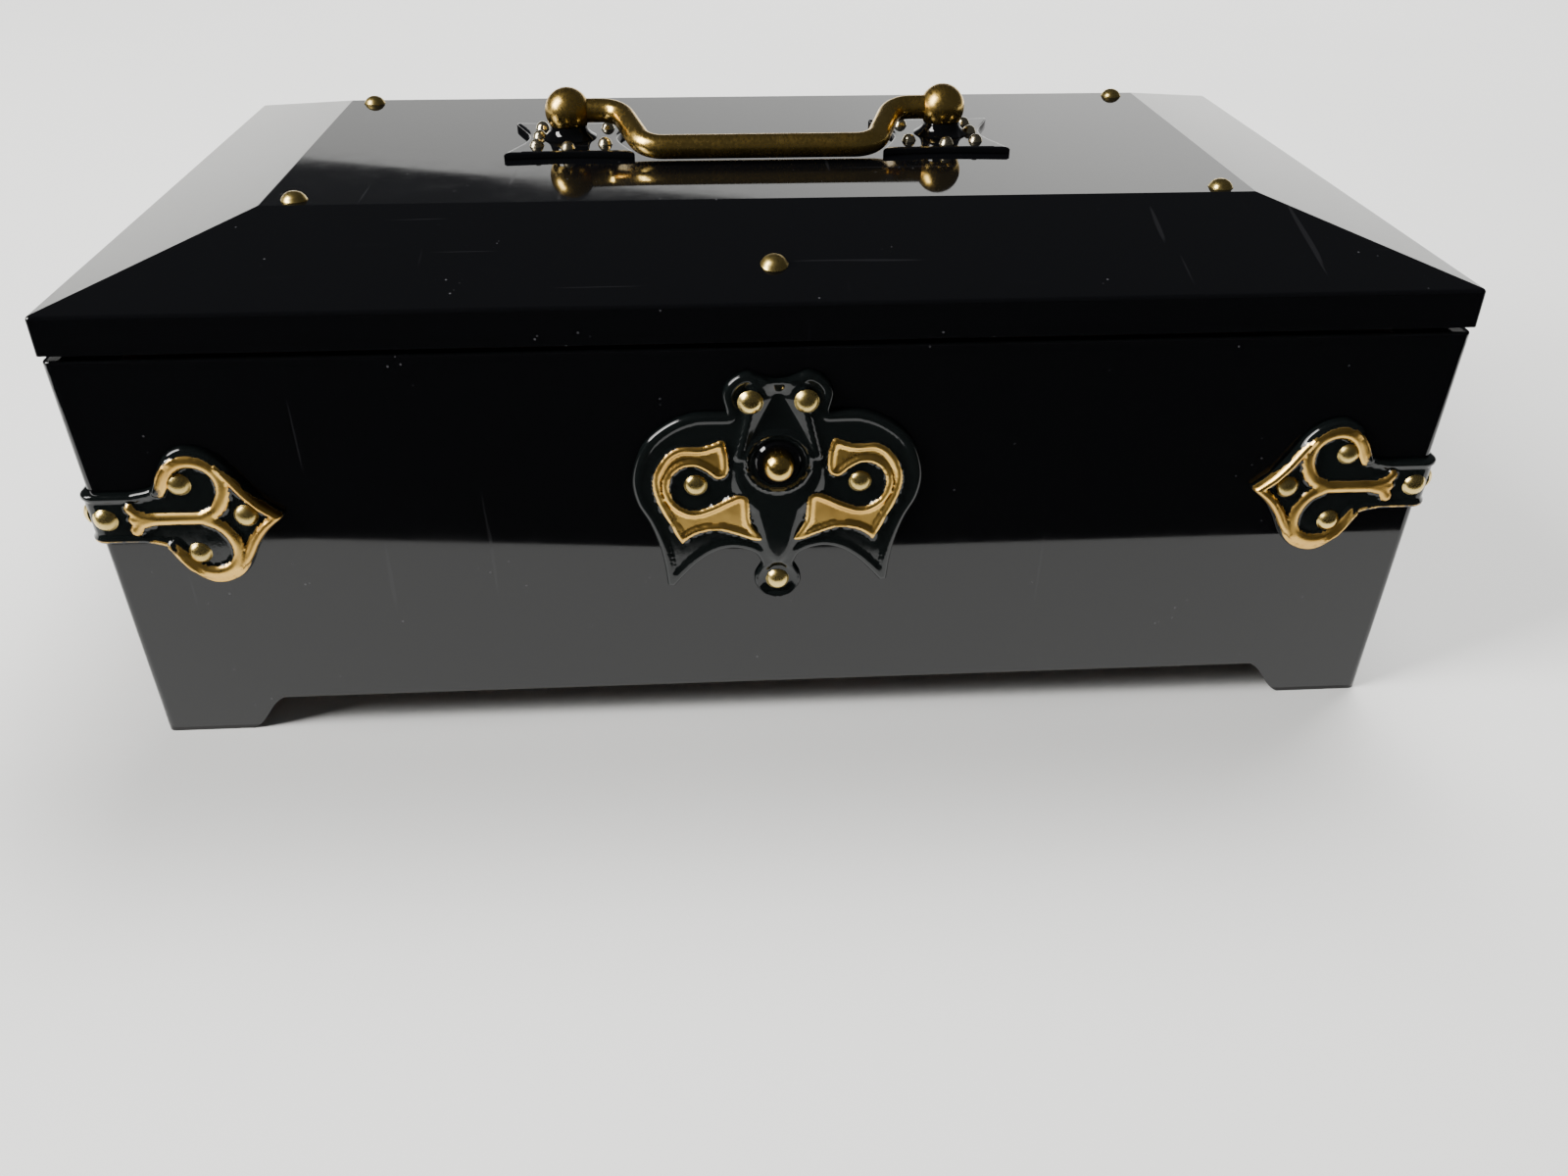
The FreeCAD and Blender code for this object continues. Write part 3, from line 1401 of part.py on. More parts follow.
def cylinder_wheel():
    gear = toothed_disc(cylinder_wheel_teeth, cylinder_wheel_module, wheel_thickness, first_pinion_angle)
    radius = cylinder_wheel_teeth * cylinder_wheel_module / 2
    gear = windowed(gear, radius, cylinder_hub_radius, wheel_thickness)
    bore = rod(arbor_radius, (0, 0, 0), (0, 0, wheel_thickness))
    y = movement_y + cylinder_wheel_start + wheel_thickness
    return across(gear.cut(bore), movement_x, y, cylinder_z)


def first_pinion():
    """A leaf pinion cut on its own arbor, between the rear bracket and the governor plate."""
    x, z = first_centre()
    half_pitch = 180 / first_pinion_teeth
    gear = toothed_disc(first_pinion_teeth, cylinder_wheel_module, pinion_width,
                        first_pinion_angle + 180 + half_pitch)
    y = movement_y + cylinder_wheel_start + (wheel_thickness + pinion_width) / 2
    arbor = rod(small_arbor_radius, (x, y - pinion_width - axial_gap, z),
                (x, movement_y + governor_plate_y + bracket_plate, z))
    return joined([across(gear, x, y, z), arbor])


def first_wheel():
    x, z = first_centre()
    gear = toothed_disc(first_wheel_teeth, first_wheel_module, wheel_thickness, second_pinion_angle)
    radius = first_wheel_teeth * first_wheel_module / 2
    gear = windowed(gear, radius, 2 * small_arbor_radius, wheel_thickness)
    bore = rod(small_arbor_radius, (0, 0, 0), (0, 0, wheel_thickness))
    return across(gear.cut(bore), x, movement_y + first_wheel_start + wheel_thickness, z)


def second_pinion():
    x, z = second_centre()
    half_pitch = 180 / second_pinion_teeth
    gear = toothed_disc(second_pinion_teeth, first_wheel_module, pinion_width,
                        second_pinion_angle + 180 + half_pitch)
    y = movement_y + first_wheel_start + (wheel_thickness + pinion_width) / 2
    arbor = rod(small_arbor_radius, (x, movement_y + rear_bracket_y, z),
                (x, movement_y + governor_plate_y + bracket_plate, z))
    return joined([across(gear, x, y, z), arbor])


def worm_wheel():
    """The last wheel; the worm stands beside it at +X and enters a gap between two teeth."""
    x, z = second_centre()
    gear = toothed_disc(worm_wheel_teeth, worm_module, pinion_width, 180 / worm_wheel_teeth)
    bore = rod(small_arbor_radius, (0, 0, 0), (0, 0, pinion_width))
    return across(gear.cut(bore), x, movement_y + worm_plane + pinion_width / 2, z)


def worm_arbor():
    """The upright arbor: a single-start worm below and plain pivots at both ends."""
    pitch = math.pi * worm_module
    length = pitch * worm_turns
    z = second_centre()[1]
    root = worm_pitch_radius - tooth_dedendum * worm_module
    tip = worm_pitch_radius + tooth_addendum * worm_module
    wide = worm_root_share * pitch / 2
    narrow = worm_tip_share * pitch / 2
    buried = root - worm_pivot_radius / 4
    profile = [(buried, -wide), (tip, -narrow), (tip, narrow), (buried, wide)]
    section = Part.makePolygon([vec(-r, 0, h) for r, h in profile + profile[:1]])
    helix = Part.makeHelix(pitch, length, worm_pitch_radius)
    helix.rotate(vec(0, 0, 0), vec(0, 0, 1), 180)
    thread = Part.Wire(helix.Edges).makePipeShell([section], True, True)
    thread.translate(vec(0, 0, z - length / 2))
    body_low = z - length / 2 - 2 * wide
    body_high = governor_arm_low() - axial_gap
    high = governor_arm_low() + bracket_plate
    pivot = worm_pivot_radius
    outline = [(0, bedplate_high), (pivot, bedplate_high), (pivot, body_low), (root, body_low),
               (root, body_high), (pivot, body_high), (pivot, high), (0, high)]
    arbor = turned(outline).fuse(thread)
    return moved(arbor, worm_x(), movement_y + worm_plane, 0)


def air_brake():
    """Two flat vanes on a hub; the air they stir holds the speed of the tune down."""
    root = worm_pitch_radius - tooth_dedendum * worm_module
    half = brake_vane / 2
    vanes = block((-brake_radius, -half, brake_low), (brake_radius, half, brake_high))
    hub = rod(brake_hub_radius, (0, 0, brake_low), (0, 0, brake_high))
    bore = rod(root, (0, 0, brake_low), (0, 0, brake_high))
    return moved(joined([vanes, hub]).cut(bore), worm_x(), movement_y + worm_plane, 0)


# ---------------------------------------------------------------- movement: comb and brackets
def comb_tip_x():
    return movement_x + cylinder_radius + pin_height + comb_tip_gap


def comb():
    start = track_y(0) - comb_pitch / 2
    end = start + comb_teeth * comb_pitch
    tip = comb_tip_x()
    root = tip + comb_tooth_length
    half = comb_thickness / 2
    plate = block((tip, start, cylinder_z - half), (root + comb_heel_length, end, cylinder_z + half))
    slots = [block((tip - 1, start + n * comb_pitch - comb_slot / 2, cylinder_z - half),
                   (root, start + n * comb_pitch + comb_slot / 2, cylinder_z + half))
             for n in range(1, comb_teeth)]
    drills = [post(small_shank_radius, place, cylinder_z - half, cylinder_z + half)
              for place in comb_screw_places()]
    return plate.cut(all_of(slots + drills))


def comb_base():
    start = track_y(0) - comb_pitch / 2 - comb_base_side
    end = start + comb_teeth * comb_pitch + 2 * comb_base_side
    right = comb_tip_x() + comb_tooth_length + comb_heel_length
    top = cylinder_z - comb_thickness / 2
    riser = block((right - comb_heel_length, start, bedplate_high), (right, end, top))
    drills = [post(small_shank_radius, place, top - comb_screw_depth, top) for place in comb_screw_places()]
    return riser.cut(all_of(drills))


def bracket_foot_block(x_low, x_high, y_low, y_high):
    return block((x_low, y_low, bedplate_high), (x_high, y_high, bedplate_high + bracket_plate))


def foot_drill(place):
    return post(small_shank_radius, place, bedplate_high, bedplate_high + bracket_plate)


def front_bracket():
    """The upright between the barrel and the cylinder."""
    x = movement_x
    y = movement_y + front_bracket_y
    half = front_bracket_half
    top = cylinder_z + bracket_above_axis
    plate = block((x - half, y, bedplate_high), (x + half, y + bracket_plate, top))
    foot = bracket_foot_block(x - half, x + half, y, y + bracket_foot_length)
    bore = cross_rod(arbor_radius + shaft_clearance, (x, cylinder_z), y, y + bracket_plate)
    return joined([plate, foot]).cut(all_of([bore, foot_drill(bracket_screw_places()[0])]))


def rear_bracket():
    """The wide upright behind the cylinder that also carries the two governor arbors."""
    x = movement_x
    y = movement_y + rear_bracket_y
    left = first_centre()[0] - frame_edge
    plate = block((left, y, bedplate_high), (x + front_bracket_half, y + bracket_plate,
                                             cylinder_z + bracket_above_axis))
    foot = bracket_foot_block(x - 2 * front_bracket_half, x + front_bracket_half,
                              y - bracket_foot_length + bracket_plate, y + bracket_plate)
    bores = [cross_rod(arbor_radius + shaft_clearance, (x, cylinder_z), y, y + bracket_plate)]
    for centre in (first_centre(), second_centre()):
        bores.append(cross_rod(small_arbor_radius + shaft_clearance, centre, y, y + bracket_plate))
    return joined([plate, foot]).cut(all_of(bores + [foot_drill(bracket_screw_places()[1])]))


def governor_arm_low():
    return brake_high + 2 * axial_gap


def governor_frame():
    """The outer plate of the governor, with an arm above and a foot below the worm arbor."""
    y = movement_y + governor_plate_y
    front = movement_y + worm_plane - governor_half
    left = first_centre()[0] - frame_edge
    right = worm_x() + governor_half
    high = governor_arm_low() + bracket_plate
    plate = block((left, y, bedplate_high), (right, y + bracket_plate, high))
    arm_left = worm_x() - governor_half
    arm = block((arm_left, front, governor_arm_low()), (right, y, high))
    step = block((arm_left, front, bedplate_high), (right, y, bedplate_high + bracket_plate))
    screw = bracket_screw_places()[2]
    foot = bracket_foot_block(right, screw[0] + frame_edge, screw[1] - frame_edge, y + bracket_plate)
    worm_place = (worm_x(), movement_y + worm_plane)
    bores = [post(worm_pivot_radius + shaft_clearance, worm_place, bedplate_high, high)]
    for centre in (first_centre(), second_centre()):
        bores.append(cross_rod(small_arbor_radius + shaft_clearance, centre, y, y + bracket_plate))
    return joined([plate, arm, step, foot]).cut(all_of(bores + [foot_drill(screw)]))


def stop_rod():
    """The rod that the closed lid holds down over the air brake."""
    low = brake_high + axial_gap
    high = lid_low + lining_recess - axial_gap
    knob = post(stop_knob_radius, stop_rod_place(), high - stop_knob_height, high)
    return joined([post(stop_rod_radius, stop_rod_place(), low, high), knob])


# ---------------------------------------------------------------- all pieces
def pieces():
    made = {
        "body_shell": body_shell(),
        "bottom_panel": bottom_panel(),
        "panel_screws": panel_screws(),
        "lid_shell": lid_shell(),
        "lid_rivets": lid_rivets(),
        "lid_strike": lid_strike(),
        "lid_lining": lid_lining(),
        "plate_studs": plate_studs(),
        "handle_bail": handle_bail(),
        "hinge_pins": hinge_pins(),
        "hinge_body_screws": hinge_screws("body"),
        "hinge_lid_screws": hinge_screws("lid"),
        "corner_nails": brass_nails(fitting_nail_places()),
        "escutcheon": escutcheon(),
        "escutcheon_nails": brass_nails(escutcheon_nail_places()),
        "button_sleeve": button_sleeve(),
        "push_button": push_button(),
        "latch_plate": latch_plate(),
        "latch_bracket": latch_bracket(),
        "button_spring": button_spring(),
        "lining_tray": lining_tray(),
        "movement_hood": movement_hood(),
        "bedplate": bedplate(),
        "bedplate_screws": bedplate_screws(),
        "movement_screws": movement_screws(),
        "winding_arbor": winding_arbor(),
        "winding_key": winding_key(),
        "ratchet_wheel": ratchet_wheel(),
        "click": click(),
        "click_spring": click_spring(),
        "barrel_cup": barrel_cup(),
        "crown_wheel": crown_wheel(),
        "mainspring": mainspring(),
        "pinned_cylinder": pinned_cylinder(),
        "melody_pins": melody_pins(),
        "cylinder_arbor": cylinder_arbor(),
        "crown_pinion": crown_pinion(),
        "cylinder_wheel": cylinder_wheel(),
        "first_pinion": first_pinion(),
        "first_wheel": first_wheel(),
        "second_pinion": second_pinion(),
        "worm_wheel": worm_wheel(),
        "worm_arbor": worm_arbor(),
        "air_brake": air_brake(),
        "comb": comb(),
        "comb_base": comb_base(),
        "front_bracket": front_bracket(),
        "rear_bracket": rear_bracket(),
        "governor_frame": governor_frame(),
        "stop_rod": stop_rod(),
    }
    pairs = {"hinge_body_leaf": hinge_body_leaf(), "hinge_lid_leaf": hinge_lid_leaf(),
             "handle_plate": handle_plate(), "ball_post": ball_post()}
    for name, right in pairs.items():
        made[name + "_right"] = right
        made[name + "_left"] = mirrored(right)
    made["corner_fitting_left"] = corner_fitting()
    made["corner_fitting_right"] = mirrored(made["corner_fitting_left"])
    return made


os.makedirs("parts", exist_ok=True)
for name, shape in pieces().items():
    shape.exportStep("parts/" + name + ".step")
    print(name, len(shape.Solids), round(shape.Volume, 1), "valid" if shape.isValid() else "INVALID")
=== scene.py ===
"""Looks of the wind-up music box: black mouldings, gilt reliefs, aged brass, velvet and the movement."""

import json
import math

import bmesh
import bpy
import numpy as np
from mathutils import Matrix, Vector
from mathutils.geometry import delaunay_2d_cdt


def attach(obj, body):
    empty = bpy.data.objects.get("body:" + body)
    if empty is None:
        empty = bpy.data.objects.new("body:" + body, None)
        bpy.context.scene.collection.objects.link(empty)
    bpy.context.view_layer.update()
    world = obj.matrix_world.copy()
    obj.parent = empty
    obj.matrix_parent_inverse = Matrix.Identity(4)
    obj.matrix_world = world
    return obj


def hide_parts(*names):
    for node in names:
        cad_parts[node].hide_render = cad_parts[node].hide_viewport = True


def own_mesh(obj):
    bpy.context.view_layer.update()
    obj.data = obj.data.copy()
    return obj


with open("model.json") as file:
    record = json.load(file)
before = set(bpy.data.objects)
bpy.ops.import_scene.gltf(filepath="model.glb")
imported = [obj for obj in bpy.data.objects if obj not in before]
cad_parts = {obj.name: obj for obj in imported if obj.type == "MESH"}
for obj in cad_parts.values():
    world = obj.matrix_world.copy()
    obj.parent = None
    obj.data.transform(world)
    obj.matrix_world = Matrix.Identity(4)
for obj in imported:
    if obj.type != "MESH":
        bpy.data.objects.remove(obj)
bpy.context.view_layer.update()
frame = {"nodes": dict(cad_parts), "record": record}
NODES = frame["nodes"]
MM = 0.001

# ---------------------------------------------------------------- sizes of the box, in millimetres
RIM_TOP, PLATEAU = 67.0, 73.3
BODY_HIGH, BODY_DRAFT = 61.0, 1.5
BODY_HALF_X, BODY_HALF_Y = 94.8, 57.8
CORNER_ROUND = 1.2
BALL_X, BALL_LIFT, BALL_RADIUS = 30.2, 5.1, 3.6
FITTING_HEIGHT = 37.9
BUTTON_HEIGHT = 44.4


# ---------------------------------------------------------------- shading nodes
class Finish:
    """A material with one Principled shader and short calls for the nodes in front of it."""

    def __init__(self, name, **sockets):
        self.material = bpy.data.materials.new(name)
        self.material.use_nodes = True
        self.tree = self.material.node_tree
        self.shader = self.tree.nodes["Principled BSDF"]
        self.output = self.tree.nodes["Material Output"]
        for key, value in sockets.items():
            self.shader.inputs[key.replace("_", " ")].default_value = value
        self.place = self.add("ShaderNodeTexCoord").outputs["Object"]

    def add(self, kind, **settings):
        node = self.tree.nodes.new(kind)
        for key, value in settings.items():
            setattr(node, key, value)
        return node

    def feed(self, source, socket):
        self.tree.links.new(source, socket)

    def to_shader(self, source, name):
        self.feed(source, self.shader.inputs[name])

    def colour(self, source):
        self.to_shader(source, "Base Color")

    def rough(self, source):
        self.to_shader(source, "Roughness")

    def stretched(self, scale, turn=(0, 0, 0)):
        node = self.add("ShaderNodeMapping")
        node.inputs["Scale"].default_value = scale
        node.inputs["Rotation"].default_value = turn
        self.feed(self.place, node.inputs["Vector"])
        return node.outputs["Vector"]

    def noise(self, scale, detail=3.0, rough=0.5, vector=None):
        node = self.add("ShaderNodeTexNoise")
        node.inputs["Scale"].default_value = scale
        node.inputs["Detail"].default_value = detail
        node.inputs["Roughness"].default_value = rough
        self.feed(vector or self.place, node.inputs["Vector"])
        return node.outputs["Fac"]

    def cells(self, scale, feature="F1", vector=None, output="Distance"):
        node = self.add("ShaderNodeTexVoronoi", feature=feature)
        node.inputs["Scale"].default_value = scale
        self.feed(vector or self.place, node.inputs["Vector"])
        return node.outputs[output]

    def ramp(self, source, *stops):
        node = self.add("ShaderNodeValToRGB")
        band = node.color_ramp
        while len(band.elements) < len(stops):
            band.elements.new(0.5)
        for element, (at, colour) in zip(band.elements, stops):
            element.position = at
            element.color = colour if isinstance(colour, tuple) else (colour, colour, colour, 1)
        self.feed(source, node.inputs["Fac"])
        return node.outputs["Color"]

    def span(self, source, low, high, to_low, to_high):
        node = self.add("ShaderNodeMapRange")
        for key, value in (("From Min", low), ("From Max", high), ("To Min", to_low), ("To Max", to_high)):
            node.inputs[key].default_value = value
        self.feed(source, node.inputs["Value"])
        return node.outputs["Result"]

    def math(self, operation, first, second=None):
        node = self.add("ShaderNodeMath", operation=operation)
        for value, socket in zip((first, second), node.inputs):
            if value is None:
                continue
            if isinstance(value, (int, float)):
                socket.default_value = value
            else:
                self.feed(value, socket)
        return node.outputs["Value"]

    def blend(self, share, first, second):
        node = self.add("ShaderNodeMix", data_type="RGBA")
        for value, socket in zip((share, first, second), (node.inputs[0], node.inputs[6], node.inputs[7])):
            if isinstance(value, (tuple, float)):
                socket.default_value = value
            else:
                self.feed(value, socket)
        return node.outputs[2]

    def attribute(self, name):
        return self.add("ShaderNodeAttribute", attribute_name=name).outputs["Fac"]

    def bump(self, height, distance, strength=1.0):
        node = self.add("ShaderNodeBump")
        node.inputs["Distance"].default_value = distance
        node.inputs["Strength"].default_value = strength
        self.feed(height, node.inputs["Height"])
        self.to_shader(node.outputs["Normal"], "Normal")


def black_moulding():
    """High gloss black plastic with wiped smears, a few faint hairlines and a little dust."""
    f = Finish("black_moulding", IOR=1.54)
    smear = f.noise(26, 4, 0.55)
    fine = f.noise(240, 3, 0.6)
    hair_a = f.span(f.noise(1, 1, 0.5, f.stretched((700, 30, 30), (0, 0.2, 0.7))), 0.735, 0.76, 0, 1)
    hair_b = f.span(f.noise(1, 1, 0.5, f.stretched((26, 900, 60), (0.3, 0, -0.4))), 0.745, 0.77, 0, 1)
    hairs = f.math("MAXIMUM", hair_a, hair_b)
    chosen = f.span(f.noise(170, 0), 0.70, 0.74, 0, 1)
    specks = f.math("MULTIPLY", f.span(f.cells(650), 0.07, 0.12, 0.6, 0), chosen)
    marks = f.math("MAXIMUM", specks, f.math("MULTIPLY", hairs, 0.06))
    f.colour(f.blend(marks, (0.0020, 0.0021, 0.0026, 1), (0.10, 0.10, 0.11, 1)))
    sheen = f.math("ADD", f.span(smear, 0.3, 0.75, 0.015, 0.06), f.span(fine, 0.45, 0.8, 0.0, 0.02))
    f.rough(f.math("ADD", sheen, f.math("MULTIPLY", marks, 0.3)))
    f.bump(f.noise(60, 1), 0.00002, 0.15)
    return f.material


def aged_brass(name, bright, dark, rough=0.2, grain=1.0):
    """Brass that has gone brown in patches and stays golden where hands rub it."""
    f = Finish(name, Metallic=1.0)
    patch = f.noise(190, 5, 0.62)
    cloud = f.noise(45, 3, 0.5)
    brushed = f.noise(1, 3, 0.6, f.stretched((2600 * grain, 240, 2600 * grain), (0, 0.5, 0.3)))
    age = f.math("ADD", f.math("MULTIPLY", patch, 0.6), f.math("MULTIPLY", cloud, 0.4))
    tarnish = f.span(age, 0.40, 0.66, 0, 1)
    f.colour(f.blend(tarnish, bright, dark))
    level = f.math("ADD", f.span(tarnish, 0, 1, rough, rough + 0.2), f.span(brushed, 0.3, 0.7, -0.05, 0.08))
    f.rough(level)
    f.bump(f.math("ADD", f.math("MULTIPLY", brushed, 0.5), patch), 0.00004, 0.35)
    return f.material


def gilt_moulding():
    """Black moulded relief whose raised lines carry gilding, rubbed thin on the edges."""
    f = Finish("gilt_moulding", IOR=1.52)
    grain = f.noise(420, 4, 0.65)
    soft = f.noise(120, 3, 0.5)
    gilt = f.math("ADD", f.attribute("gilt"), f.span(grain, 0.35, 0.7, 0.10, -0.14))
    mask = f.span(gilt, 0.40, 0.56, 0, 1)
    brown = f.span(soft, 0.38, 0.68, 0, 0.75)
    gold = f.blend(brown, (1.0, 0.64, 0.17, 1), (0.60, 0.33, 0.075, 1))
    f.colour(f.blend(mask, (0.0045, 0.006, 0.006, 1), gold))
    f.to_shader(mask, "Metallic")
    f.rough(f.math("ADD", f.span(mask, 0, 1, 0.05, 0.27), f.span(grain, 0.3, 0.8, -0.02, 0.12)))
    f.bump(f.math("ADD", grain, f.math("MULTIPLY", mask, 0.6)), 0.00003, 0.35)
    return f.material


def turned_steel(name, colour, rough, rings=1500.0):
    f = Finish(name, Metallic=1.0)
    lines = f.noise(1, 4, 0.6, f.stretched((rings, rings * 0.12, rings), (0.2, 0.4, 0.1)))
    stain = f.noise(140, 3, 0.5)
    dull = tuple(c * 0.62 for c in colour[:3]) + (1,)
    f.colour(f.blend(f.span(stain, 0.45, 0.75, 0, 0.7), colour, dull))
    f.rough(f.math("ADD", f.span(lines, 0.3, 0.7, rough - 0.06, rough + 0.1), f.span(stain, 0.4, 0.8, 0, 0.1)))
    f.bump(lines, 0.00002, 0.3)
    return f.material


def cast_metal():
    f = Finish("cast_zinc", Metallic=1.0)
    sand = f.noise(1900, 4, 0.7)
    tone = f.noise(90, 3, 0.5)
    f.colour(f.blend(f.span(tone, 0.35, 0.7, 0, 1), (0.52, 0.52, 0.50, 1), (0.34, 0.34, 0.33, 1)))
    f.rough(f.span(sand, 0.3, 0.75, 0.36, 0.58))
    f.bump(sand, 0.00006, 0.6)
    return f.material


def pile_fabric(name, painted_shade_tone, lit, pile, sheen, rough=0.85, weave=2600.0):
    """Velvet or satin: a deep and a lit tone of the same cloth blended over crushed zones and a fine pile,
    which is painted shade and painted sheen of the pile.
    """
    f = Finish(name, Roughness=rough, Sheen_Weight=sheen, Sheen_Roughness=0.35, Specular_IOR_Level=0.2)
    f.shader.inputs["Sheen Tint"].default_value = (1.0, 0.55, 0.55, 1)
    crushed = f.noise(70, 4, 0.6)
    fibre = f.noise(weave, 3, 0.7)
    share = f.math("ADD", f.span(crushed, 0.35, 0.7, 0, 0.75), f.span(fibre, 0.3, 0.7, -0.15, 0.25))
    # Painted sheen and shade: the lit tone where the crushed and fibre noise is high, the deep tone where it is
    # low.
    f.colour(f.blend(share, painted_shade_tone, lit))
    f.bump(f.math("ADD", fibre, f.math("MULTIPLY", crushed, 1.5)), pile, 0.7)
    return f.material


def pressed_board():
    f = Finish("pressed_board", Roughness=0.7)
    fibre = f.noise(1, 5, 0.65, f.stretched((900, 300, 900), (0, 0, 0.5)))
    cloud = f.noise(60, 3, 0.5)
    tone = f.math("ADD", f.math("MULTIPLY", fibre, 0.6), f.math("MULTIPLY", cloud, 0.4))
    f.colour(f.ramp(tone, (0.3, (0.055, 0.028, 0.014, 1)), (0.5, (0.12, 0.065, 0.034, 1)),
                    (0.7, (0.20, 0.12, 0.07, 1))))
    f.rough(f.span(fibre, 0.3, 0.7, 0.55, 0.85))
    f.bump(fibre, 0.0001, 0.6)
    return f.material


def clear_cover():
    f = Finish("clear_cover", Transmission_Weight=1.0, IOR=1.49)
    mist = f.noise(60, 3, 0.5)
    f.colour(f.blend(mist, (0.93, 0.97, 0.96, 1), (0.86, 0.91, 0.90, 1)))
    f.rough(f.span(f.noise(180, 3), 0.45, 0.8, 0.02, 0.14))
    f.bump(f.noise(50, 1), 0.00003, 0.3)
    return f.material


def natural_nylon():
    f = Finish("natural_nylon", Subsurface_Weight=0.15, IOR=1.53)
    f.shader.inputs["Subsurface Radius"].default_value = (0.0006, 0.0005, 0.0004)
    tone = f.noise(300, 3)
    f.colour(f.blend(tone, (0.80, 0.77, 0.68, 1), (0.70, 0.66, 0.55, 1)))
    f.rough(f.span(tone, 0.3, 0.7, 0.35, 0.5))
    f.bump(f.noise(1500, 2), 0.00002, 0.3)
    return f.material


BLACK = black_moulding()
GILT = gilt_moulding()
BRASS = aged_brass("aged_brass", (0.95, 0.66, 0.20, 1), (0.52, 0.34, 0.085, 1), 0.14)
NAIL_BRASS = aged_brass("nail_brass", (0.92, 0.70, 0.25, 1), (0.50, 0.37, 0.12, 1), 0.20, 2.0)
STUD_METAL = aged_brass("stud_metal", (0.80, 0.72, 0.52, 1), (0.34, 0.29, 0.18, 1), 0.14, 2.0)
WHEEL_BRASS = aged_brass("wheel_brass", (0.83, 0.63, 0.28, 1), (0.58, 0.40, 0.15, 1), 0.2, 1.5)
STEEL = turned_steel("turned_steel", (0.56, 0.56, 0.55, 1), 0.26)
BLUED = turned_steel("blued_steel", (0.16, 0.19, 0.27, 1), 0.22)
COMB = turned_steel("ground_comb_steel", (0.66, 0.67, 0.68, 1), 0.2, 2600.0)
CAST = cast_metal()
# Each fabric gets a deep and a lit tone of one colour: painted shade and painted sheen of its pile.
VELVET = pile_fabric("red_velvet", (0.085, 0.003, 0.007, 1), (0.27, 0.012, 0.024, 1), 0.00022, 0.7)
SATIN = pile_fabric("red_satin", (0.23, 0.008, 0.016, 1), (0.34, 0.018, 0.030, 1), 0.00004, 0.2, 0.36, 4200.0)
CORD = pile_fabric("silk_cord", (0.30, 0.16, 0.03, 1), (0.62, 0.40, 0.10, 1), 0.00004, 0.3, 0.5, 5200.0)
BOARD = pressed_board()
CLEAR = clear_cover()
NYLON = natural_nylon()

BY_SLOT = {"black_plastic": BLACK, "panel_board": BOARD, "brass": BRASS, "lacquered_plate": GILT,
           "steel": STEEL, "spring_steel": BLUED, "comb_steel": COMB, "die_cast": CAST, "velvet": VELVET,
           "satin": SATIN, "clear_cover": CLEAR, "nylon": NYLON}
SPECIAL = {"barrel_cup": WHEEL_BRASS, "crown_wheel": WHEEL_BRASS, "pinned_cylinder": WHEEL_BRASS,
           "cylinder_wheel": WHEEL_BRASS, "first_wheel": WHEEL_BRASS, "worm_wheel": WHEEL_BRASS,
           "button_sleeve": BLACK, "handle_plate_left": BLACK, "handle_plate_right": BLACK}

for part in frame["record"]["subparts"]:
    node = NODES[part["node"]]
    node.data.materials.clear()
    node.data.materials.append(SPECIAL.get(part["node"], BY_SLOT[part["material_slot"]]))


# ---------------------------------------------------------------- pieces and meshes
def placed(name, data):
    """A new object in the scene."""
    piece = bpy.data.objects.new(name, data)
    bpy.context.scene.collection.objects.link(piece)
    return piece


def smoothed(bm, name, degrees, *materials):
    """The closed form as a mesh, smooth except at edges sharper than the angle."""
    bmesh.ops.recalc_face_normals(bm, faces=bm.faces)
    for face in bm.faces:
        face.smooth = True
    for edge in bm.edges:
        edge.smooth = len(edge.link_faces) == 2 and edge.calc_face_angle() < math.radians(degrees)
    mesh = bpy.data.meshes.new(name)
    bm.to_mesh(mesh)
    bm.free()
    for material in materials:
        mesh.materials.append(material)
    return mesh


def settled(piece):
    """The mesh that the piece's modifiers give."""
    return bpy.data.meshes.new_from_object(piece.evaluated_get(bpy.context.evaluated_depsgraph_get()))


def welded(node, change=None):
    """A copy of a node's mesh with its split corners joined, and each point changed if asked."""
    mesh = NODES[node].data.copy()
    bm = bmesh.new()
    bm.from_mesh(mesh)
    bmesh.ops.remove_doubles(bm, verts=bm.verts, dist=1e-6)
    if change:
        for vert in bm.verts:
            change(vert.co)
        bmesh.ops.recalc_face_normals(bm, faces=bm.faces)
    bm.to_mesh(mesh)
    bm.free()
    mesh.materials.clear()
    return mesh


def finished(piece, body, slot, *replaced):
    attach(piece, body)
    if replaced:
        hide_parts(*replaced)
    return piece


# ---------------------------------------------------------------- outlines and reliefs
def curve_through(points, step):
    """Points about a step apart on a smooth curve through the given points."""
    given = [Vector(p) for p in points]
    ends = [given[0] * 2 - given[1]] + given + [given[-1] * 2 - given[-2]]
    out = []
    for a, b, c, d in zip(ends, ends[1:], ends[2:], ends[3:]):
        count = max(2, math.ceil((c - b).length / step))
        for i in range(count):
            t = i / count
            out.append(0.5 * (2 * b + (c - a) * t + (2 * a - 5 * b + 4 * c - d) * t * t
                              + (3 * b - a - 3 * c + d) * t ** 3))
    return out + [given[-1]]


def outline_of(start, strokes, step=0.22):
    """A closed outline: a stroke of one point is straight, of more a smooth curve."""
    here, out = start, []
    for stroke in strokes:
        out += curve_through([here] + stroke, step)[:-1]
        here = stroke[-1]
    return np.array([tuple(p) for p in out])


def mirrored_outline(half):
    """The closed outline of a right half given from its top point to its bottom point, each on x = 0."""
    return np.vstack([half, half[-2:0:-1] * (-1, 1)])


